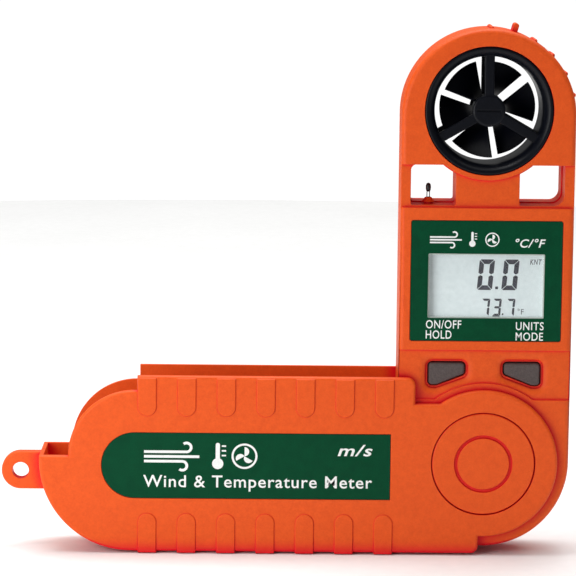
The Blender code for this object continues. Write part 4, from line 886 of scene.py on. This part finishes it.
def lettering(text, left, right, bottom, top, front, weight=0.0, slant=0.0):
    """A line of plain lettering that fills a rectangle."""
    curve = bpy.data.curves.new("lettering", "FONT")
    curve.body = text
    curve.size = 1.0
    curve.offset = weight
    curve.shear = slant
    curve.extrude = 0.01
    curve.resolution_u = 4
    curve.space_character = 1.1
    mesh = drawn("lettering", curve)
    mesh.transform(Matrix.Rotation(math.pi / 2, 4, "X"))
    tidied(mesh, 0.0002, 0)
    return fitted(on_bench("lettering", mesh), left, right, bottom, top, front)


def stroke(points, width, front):
    """A flat line of even width through the points."""
    sides = ([], [])
    for i, (x, z) in enumerate(points):
        before, after = points[max(0, i - 1)], points[min(len(points) - 1, i + 1)]
        along = Vector((after[0] - before[0], after[1] - before[1])).normalized()
        for side, sign in zip(sides, (1, -1)):
            side.append((x - sign * along.y * width / 2, z + sign * along.x * width / 2))
    return plate("stroke", [sides[0] + sides[1][::-1]], front, front + INK)


def wind_sign(left, bottom, height, front):
    """Three streaks of wind, two of them curled at the end."""
    unit = height / 10
    width = 0.95 * unit
    curl = 1.6 * unit
    strokes = []
    for z, length, way in ((6.4, 15.0, 1), (4.7, 19.5, 0), (3.0, 13.5, -1)):
        x1, z1 = left + length * unit, bottom + z * unit
        line = [(left, z1), (x1, z1)]
        if way:
            line += arc(x1, z1 + way * curl, curl, -90 * way, 130 * way, 10)[1:]
        strokes.append(stroke(line, width, front))
    return strokes


def thermometer_sign(x, bottom, height, front):
    """A bulb with a stem and three ticks."""
    unit = height / 10
    half = 0.8 * unit
    stem = oblong(x - half, x + half, bottom + 2 * unit, bottom + 10 * unit, 0.75 * unit)
    bulb = ring(x, bottom + 2.1 * unit, 2.1 * unit)
    glass = plate("bulb", [bulb], front, front + INK)
    signs = [worked(glass, [plate("stem", [stem], front, front + INK)], "UNION")]
    for z in (5.2, 7.0, 8.8):
        tick = [(x + 1.5 * unit, bottom + z * unit), (x + 3.1 * unit, bottom + z * unit)]
        signs.append(stroke(tick, 0.6 * unit, front))
    return signs


def vane_sign(x, z, radius, front):
    """A ring with three curved vanes in it."""
    signs = [plate("vane_ring", [ring(x, z, radius), ring(x, z, radius * 0.84)], front, front + INK)]
    reach = radius * 0.36
    for turn in (90, 210, 330):
        a = math.radians(turn)
        tip = (x + reach * math.cos(a), z + reach * math.sin(a))
        vane = arc(*tip, reach, turn - 180, turn, 12)
        signs.append(plate("vane", [vane], front, front + INK))
    return signs


def display():
    half, bottom, top = APERTURE
    film_face = film_low.y
    rim_outline = oblong(film_low.x, film_high.x, film_low.z, film_high.z, 0.5)
    view = oblong(-half + 0.15, half - 0.15, bottom + 0.15, top - 0.15, 0.3)
    film = plate("display_film", [rim_outline, view], film_face, film_high.y, 0.04)
    place(smoothed(film), "meter", "green_film", green_film, "display_label")
    ink = film_face - INK
    art = wind_sign(-14.0, 53.7, 4.0, ink) + thermometer_sign(-3.6, 53.9, 3.7, ink)
    art += vane_sign(0.1 + 1.2, 55.7, 1.75, ink)
    art += [
        lettering("\u00b0C/\u00b0F", 7.0, 14.4, 53.8, 56.0, ink, 0.016, 0.25),
        lettering("ON/OFF", -14.65, -5.95, 33.55, 35.65, ink, 0.009),
        lettering("HOLD", -14.65, -8.3, 31.0, 33.1, ink, 0.009),
        lettering("UNITS", 7.5, 14.35, 33.3, 35.35, ink, 0.009),
        lettering("MODE", 7.5, 14.25, 30.7, 32.75, ink, 0.009),
    ]
    place(smoothed(joined("display_film_print", art)), "meter", "green_film", white_ink)

    inner = half - 0.45
    outer_frame = oblong(-half + 0.03, half - 0.03, bottom + 0.03, top - 0.03, 0.1)
    inner_frame = oblong(-inner, inner, bottom + 0.45, top - 0.45, 0.25)
    bezel = plate("display_frame", [outer_frame, inner_frame], -6.85, lcd_low.y - 0.05, 0.1)
    place(smoothed(bezel), "meter", "lcd_glass", pale_frame)
    pane = oblong(-inner + 0.03, inner - 0.03, bottom + 0.48, top - 0.48, 0.22)
    window = plate("display_window", [pane], lens_low.y, lens_high.y, 0.1)
    place(smoothed(window), "meter", "clear_acrylic", lens_acrylic, "display_lens").visible_shadow = False

    cell = oblong(lcd_low.x, lcd_high.x, lcd_low.z, lcd_high.z, 0.2)
    glass = plate("lcd_cell", [cell], lcd_low.y, lcd_high.y, 0.08)
    place(smoothed(glass), "meter", "lcd_glass", lcd_film, "lcd_panel")
    face = lcd_low.y - INK
    shown = []
    for left in (-2.2, 3.85):
        shown += segments("0", left, 43.0, 3.75, 7.6, 1.15, face)
    shown.append(plate("point", [oblong(2.35, 3.05, 43.2, 43.9, 0.15)], face, face + INK))
    for left, symbol in ((-1.2, "7"), (1.65, "3"), (5.0, "7")):
        shown += segments(symbol, left, 36.55, 2.05, 4.3, 0.55, face)
    shown.append(plate("small_point", [oblong(4.1, 4.5, 36.8, 37.2, 0.08)], face, face + INK))
    shown.append(lettering("\u00b0F", 8.0, 9.5, 37.0, 38.4, face))
    shown.append(lettering("KNT", 10.8, 13.7, 49.4, 50.7, face, 0.01, 0.2))
    place(smoothed(joined("lcd_segments", shown)), "meter", "lcd_glass", lcd_ink)


def segments(symbol, left, bottom, width, height, bar, front):
    """One leaning seven-segment figure with mitred bars."""
    lit = {"0": "abcdef", "3": "abcdg", "7": "abc"}[symbol]
    gap = bar * 0.08
    middle = height / 2
    far = width - gap
    top_bar = [(gap, height), (far, height), (width - bar - gap, height - bar), (bar + gap, height - bar)]
    upper_left = [(0, height - gap), (bar, height - bar - gap), (bar, middle + bar * 0.4)]
    upper_left += [(bar / 2, middle + gap), (0, middle + bar * 0.4)]
    cross = [(bar * 0.6, middle), (bar * 1.1, middle + bar / 2)]
    cross += [(width - bar * 1.1, middle + bar / 2), (width - bar * 0.6, middle)]
    cross += [(width - bar * 1.1, middle - bar / 2), (bar * 1.1, middle - bar / 2)]
    across = [(width - x, z) for x, z in upper_left]
    drawn_bars = {
        "a": top_bar,
        "b": across,
        "c": [(x, height - z) for x, z in across],
        "d": [(x, height - z) for x, z in top_bar],
        "e": [(x, height - z) for x, z in upper_left],
        "f": upper_left,
        "g": cross,
    }
    bars = []
    for name in lit:
        leaning = [(left + x + z * 0.085, bottom + z, bar * 0.12) for x, z in drawn_bars[name]]
        bars.append(plate("segment", [filleted(leaning)], front, front + INK))
    return bars


# Fan


def spider(name, front, back, reach):
    """A hub with three spokes. The spokes are one bar, copied round the hub."""
    soft = [(0, front), (3.3, front), (3.75, front + 0.12), (HUB_RADIUS, front + 0.4)]
    soft += [(HUB_RADIUS, back), (0, back)]
    hub = turned(name, soft)
    inner, half = 2.4, SPOKE_WIDTH / 2
    arm = plate("arm", [oblong(inner, reach, -half, half)], front + 0.25, back - 0.1, 0.3)
    by_nodes(arm, COPIES, count=SPOKES, step=(0, 0, 0), first_turn=-90.0, turn=-360.0 / SPOKES)
    return worked(hub, [arm], "UNION")


def set_in_fan(obj, edge, body, slot, finish, node):
    """Softens a piece turned about the pivot and moves it to the fan's own axis."""
    softened(obj, edge, angle=42)
    moved(obj, Matrix.Translation((0, 0, FAN_Z)))
    return place(obj, body, slot, finish, node)


def fan():
    low, high = duct_low.y, duct_high.y
    flare = [(DUCT_INNER, low + 3.4), (13.28, low + 2.4), (13.55, low + 1.5), (13.95, low + 0.8)]
    lip = [(14.45, low + 0.3), (14.85, low + 0.08), (15.2, low), (15.5, low + 0.08), (15.68, low + 0.26)]
    back = [(DUCT_RADIUS, low + 0.55), (DUCT_RADIUS, high - 0.2), (DUCT_RADIUS - 0.2, high)]
    back += [(14.55, high), (14.55, high - 1.95), (DUCT_INNER, high - 1.95)]
    duct = turned("fan_ring", flare + lip + back, closed=True, steps=128)
    arms = spider("front_spider", low + 1.4, low + 3.2, 14.0)
    groove = block("hub_slot", (-2.9, low, -0.28), (2.9, low + 1.4 + 0.35, 0.28))
    seat = rod("jewel_seat", 1.4, low + 2.1, low + 5, steps=48)
    worked(duct, [arms], "UNION")
    worked(duct, [groove, seat])
    set_in_fan(duct, 0.08, "meter", "black_abs", black_abs, "fan_duct")

    low, high = bridge_low.y, bridge_high.y
    profile = [(DUCT_INNER, low), (14.4, low), (14.4, high - 0.2), (14.2, high), (DUCT_INNER, high)]
    bridge = turned("rear_bridge", profile, closed=True)
    arms = spider("back_spider", -high, -low, 13.8)
    moved(arms, Matrix.Rotation(math.pi, 4, "Z"))
    worked(bridge, [arms], "UNION")
    worked(bridge, [rod("jewel_seat", 1.4, low - 1, low + 1.0, steps=48)])
    set_in_fan(bridge, 0.08, "meter", "black_abs", black_abs, "rear_bearing_bridge")

    low, high = wheel_low.y, wheel_high.y
    profile = [(0, low), (2.9, low), (3.35, low + 0.1), (WHEEL_HUB, low + 0.35)]
    profile += [(WHEEL_HUB, high - 0.2), (WHEEL_HUB - 0.2, high), (0, high)]
    wheel = turned("fan_wheel", profile)
    vane = vane_blade(low + 0.5, high - 0.5)
    by_nodes(vane, COPIES, count=BLADES, step=(0, 0, 0), first_turn=-10.0, turn=-360.0 / BLADES)
    worked(wheel, [vane], "UNION")
    bore = rod("shaft_bore", 0.6, low - 1, high + 1, steps=32)
    worked(wheel, [bore, rod("magnet_pocket", 2.5, high - 1.2, high + 1, steps=64)])
    set_in_fan(wheel, 0.05, "rotor", "impeller_abs", wheel_abs, "impeller")


def vane_blade(front, back):
    """One pitched blade about three o'clock: a twisted sheet given its thickness. Its gap is even."""
    shape = bmesh.new()
    rows = []
    around, along = 16, 10
    for i in range(around + 1):
        share = i / around
        row = []
        for k in range(along + 1):
            radius = BLADE_ROOT + (WHEEL_RADIUS - BLADE_ROOT) * k / along
            sweep = 360 / BLADES - math.degrees(BLADE_GAP / radius)
            angle = math.radians(sweep * (share - 0.5))
            y = back + (front - back) * share
            row.append(shape.verts.new((radius * math.cos(angle), y, radius * math.sin(angle))))
        rows.append(row)
    for i in range(around):
        for k in range(along):
            shape.faces.new((rows[i][k], rows[i][k + 1], rows[i + 1][k + 1], rows[i + 1][k]))
    bmesh.ops.recalc_face_normals(shape, faces=shape.faces)
    blade = modelled("vane_blade", shape)
    wall = blade.modifiers.new("wall", "SOLIDIFY")
    wall.thickness = BLADE_THICKNESS
    wall.offset = 0
    applied(blade)
    tidied(blade.data, 0.001)
    return blade


# Temperature sensor


def temperature_sensor():
    x, y = SENSOR_X, SENSOR_Y
    left, right = x - 0.32, x + 0.32
    foot = 56.45
    board = 0.9
    bead_z = WINDOW_BOTTOM + 3.6
    path = [(left, board, foot), (left, y + 0.3, foot), (left, y, foot + 0.3), (left, y, bead_z)]
    path += [(right, y, bead_z), (right, y, foot + 0.3), (right, y + 0.3, foot), (right, board, foot)]
    leads = wire("thermistor_leads", path, 0.15)
    profile = [(0, 1.1), (0.28, 1.03), (0.5, 0.82), (0.62, 0.45), (0.65, 0.0)]
    profile += [(0.62, -0.5), (0.5, -0.9), (0.3, -1.1), (0, -1.1)]
    bead = turned("thermistor_bead", [(r, bead_z + h) for r, h in profile], x=x, steps=32, upright_y=y)
    worked(leads, [bead], "UNION")
    place(smoothed(leads, 50), "meter", "thermistor_epoxy", bead_epoxy, "thermistor")
    sill = WINDOW_BOTTOM + 0.1
    skirt = [(0.62, sill + 1.1), (0.85, sill + 1.02), (1.05, sill + 0.7), (1.3, sill + 0.35)]
    skirt += [(1.65, sill + 0.12), (1.7, sill)]
    skirt += [(1.1, sill), (1.1, 58.7), (0.57, 58.7), (0.57, sill + 1.05)]
    grommet = turned("lead_grommet", skirt, x=x, closed=True, steps=48, upright_y=y)
    place(smoothed(grommet, 50), "meter", "orange_abs", orange_abs, "thermistor_grommet")


# Cover


def grip_ribs():
    """Ribs along both long edges; the lower ones wrap round the spine."""
    reach = COVER_FACE + RIB_PROUD
    half = RIB_WIDTH / 2
    made = []
    edge = COVER_EDGE - 0.5
    inner = COVER_EDGE - RIB_LENGTH + half
    upper = [(half, edge), (-half, edge)] + arc(0, inner, half, 180, 360, 9)
    lower_edge = -COVER_DROP - RIB_PROUD
    inner = lower_edge + RIB_LENGTH - half
    lower = [(-half, lower_edge), (half, lower_edge)] + arc(0, inner, half, 0, 180, 9)
    for name, outline in (("upper_ribs", upper), ("lower_ribs", lower)):
        rib = plate(name, [outline], -reach, reach, 0.28)
        by_nodes(rib, COPIES, count=7, step=(RIB_PITCH, 0, 0), first_turn=0.0, turn=0.0)
        made.append(moved(rib, Matrix.Translation((FIRST_RIB, 0, 0))))
    return made


def cover_half(name, side, node):
    half = plate(name, [cover_outline()], -COVER_FACE, COVER_FACE, COVER_SOFTEN)
    root = COVER_END_X - COVER_DROP + 2.5
    x, z = LOOP_PLACE
    loop = arc(x, z, LOOP_RADIUS, 90, 270) + [(root, z - LOOP_RADIUS), (root, z + LOOP_RADIUS)]
    tab = plate("lanyard_tab", [loop], -1.5, 1.5, 0.5)
    worked(half, grip_ribs() + [tab], "UNION")
    radius = COVER_DROP - 1.1
    far = HALF_WIDTH + PAST
    inner_end = COVER_END_X - radius
    end = arc(COVER_END_X, 0, radius, 180, 270)
    hollow = [(far, far + PAST), (inner_end, far + PAST)] + end + [(far, -radius)]
    far *= 8
    other = sorted((side * -COVER_FACE * 2, side * SEAM / 2))
    tools = [
        rod("lanyard_hole", LOOP_HOLE, -3, 3, x, z, steps=64),
        plate("hollow", [hollow], -COVER_INNER, COVER_INNER),
        rod("pivot_hole", BOSS_RADIUS + 0.2, -COVER_FACE - PAST, COVER_FACE + PAST),
        block("other_half", (-far, other[0], -far), (far, other[1], far)),
    ]
    if side < 0:
        recess = cover_film_outline(0)
        tools.append(plate("film_recess", [recess], -COVER_FACE - PAST, -COVER_FACE + FILM_RECESS))
    worked(half, tools)
    return place(softened(half, MOULD_EDGE), "cover", "orange_abs", orange_abs, node)


def cover_film():
    film = plate("cover_film", [cover_film_outline(0.1)], cover_film_low.y, cover_film_high.y, 0.04)
    place(smoothed(film), "cover", "green_film", green_film, "cover_label")
    ink = cover_film_low.y - INK
    art = wind_sign(-83.8, -2.0, 7.0, ink) + thermometer_sign(-65.6, -1.8, 6.6, ink)
    art += vane_sign(-59.0, 1.5, 3.2, ink)
    art += [
        lettering("m/s", -36.0, -27.4, 1.7, 4.6, ink, 0.016, 0.25),
        lettering("Wind & Temperature Meter", -84.0, -27.4, -7.4, -3.4, ink, 0.009),
    ]
    place(smoothed(joined("cover_film_print", art)), "cover", "green_film", white_ink)


front_case()
back_case()
case_screws()
battery_lid()
keys()
display()
fan()
temperature_sensor()
cover_half("sheath_front", -1, "cover_front")
cover_half("sheath_back", 1, "cover_back")
cover_film()


# Camera, floor and light

TARGET = Vector((0.578, 0.0, 65.237)) * MM
AZIMUTH, ELEVATION, ROLL = (math.radians(angle) for angle in (-0.492, 8.383, 0.574))
DISTANCE = 716.34 * MM
across, deep = -math.sin(AZIMUTH) * math.cos(ELEVATION), math.cos(AZIMUTH) * math.cos(ELEVATION)
forward = Vector((across, deep, -math.sin(ELEVATION)))
level = forward.cross(Vector((0, 0, 1))).normalized()
upward = level.cross(forward)
right = level * math.cos(ROLL) + upward * math.sin(ROLL)
above = upward * math.cos(ROLL) - level * math.sin(ROLL)
camera_data = bpy.data.cameras.new("camera")
camera_data.sensor_width = 36.0
camera_data.lens = 180.55
camera_data.clip_start = 0.05
camera_data.clip_end = 50.0
camera = on_bench("camera", camera_data)
camera.matrix_world = Matrix(
    (
        (right.x, above.x, -forward.x, TARGET.x - forward.x * DISTANCE),
        (right.y, above.y, -forward.y, TARGET.y - forward.y * DISTANCE),
        (right.z, above.z, -forward.z, TARGET.z - forward.z * DISTANCE),
        (0, 0, 0, 1),
    )
)
bpy.context.scene.camera = camera


def studio_floor():
    """A round pale sheet that lies flat, just under the meter."""
    shape = bmesh.new()
    bmesh.ops.create_circle(shape, cap_ends=True, segments=96, radius=0.75)
    floor = modelled("studio_floor", shape)
    moved(floor, Matrix.Translation((0, 0, -0.0002)))
    floor.data.materials.append(white_floor)


def softbox(name, place_at, aim, size, power):
    light = bpy.data.lights.new(name, "AREA")
    light.shape = "RECTANGLE"
    light.size, light.size_y = size
    light.energy = power
    obj = on_bench(name, light)
    obj.location = place_at
    obj.rotation_euler = (Vector(aim) - Vector(place_at)).to_track_quat("-Z", "Y").to_euler()
    return obj


studio_floor()
world = bpy.data.worlds.new("studio")
bpy.context.scene.world = world
world.use_nodes = True
sky = world.node_tree.nodes["Background"]
sky.inputs["Color"].default_value = (1.0, 1.0, 1.0, 1.0)
# The camera sees the white surround at full brightness, but the meter gets much less light from it.
seen = add(world.node_tree, "ShaderNodeLightPath")
levels = {"Value": seen.outputs["Is Camera Ray"], "To Min": 0.2, "To Max": 1.05}
strength = add(world.node_tree, "ShaderNodeMapRange", levels)
world.node_tree.links.new(strength.outputs[0], sky.inputs["Strength"])
softbox("ceiling_softbox", (0.0, 0.8, 1.8), (0, 0.8, 0), (3.0, 3.0), 44.0)
softbox("overhead_strip", (-0.05, 0.06, 0.8), (0, 0, 0.06), (0.6, 0.22), 3.5)
softbox("key_softbox", (-0.22, -0.22, 0.11), (-0.05, 0, 0.03), (0.2, 0.2), 0.57)
bpy.context.scene.view_settings.view_transform = "Standard"
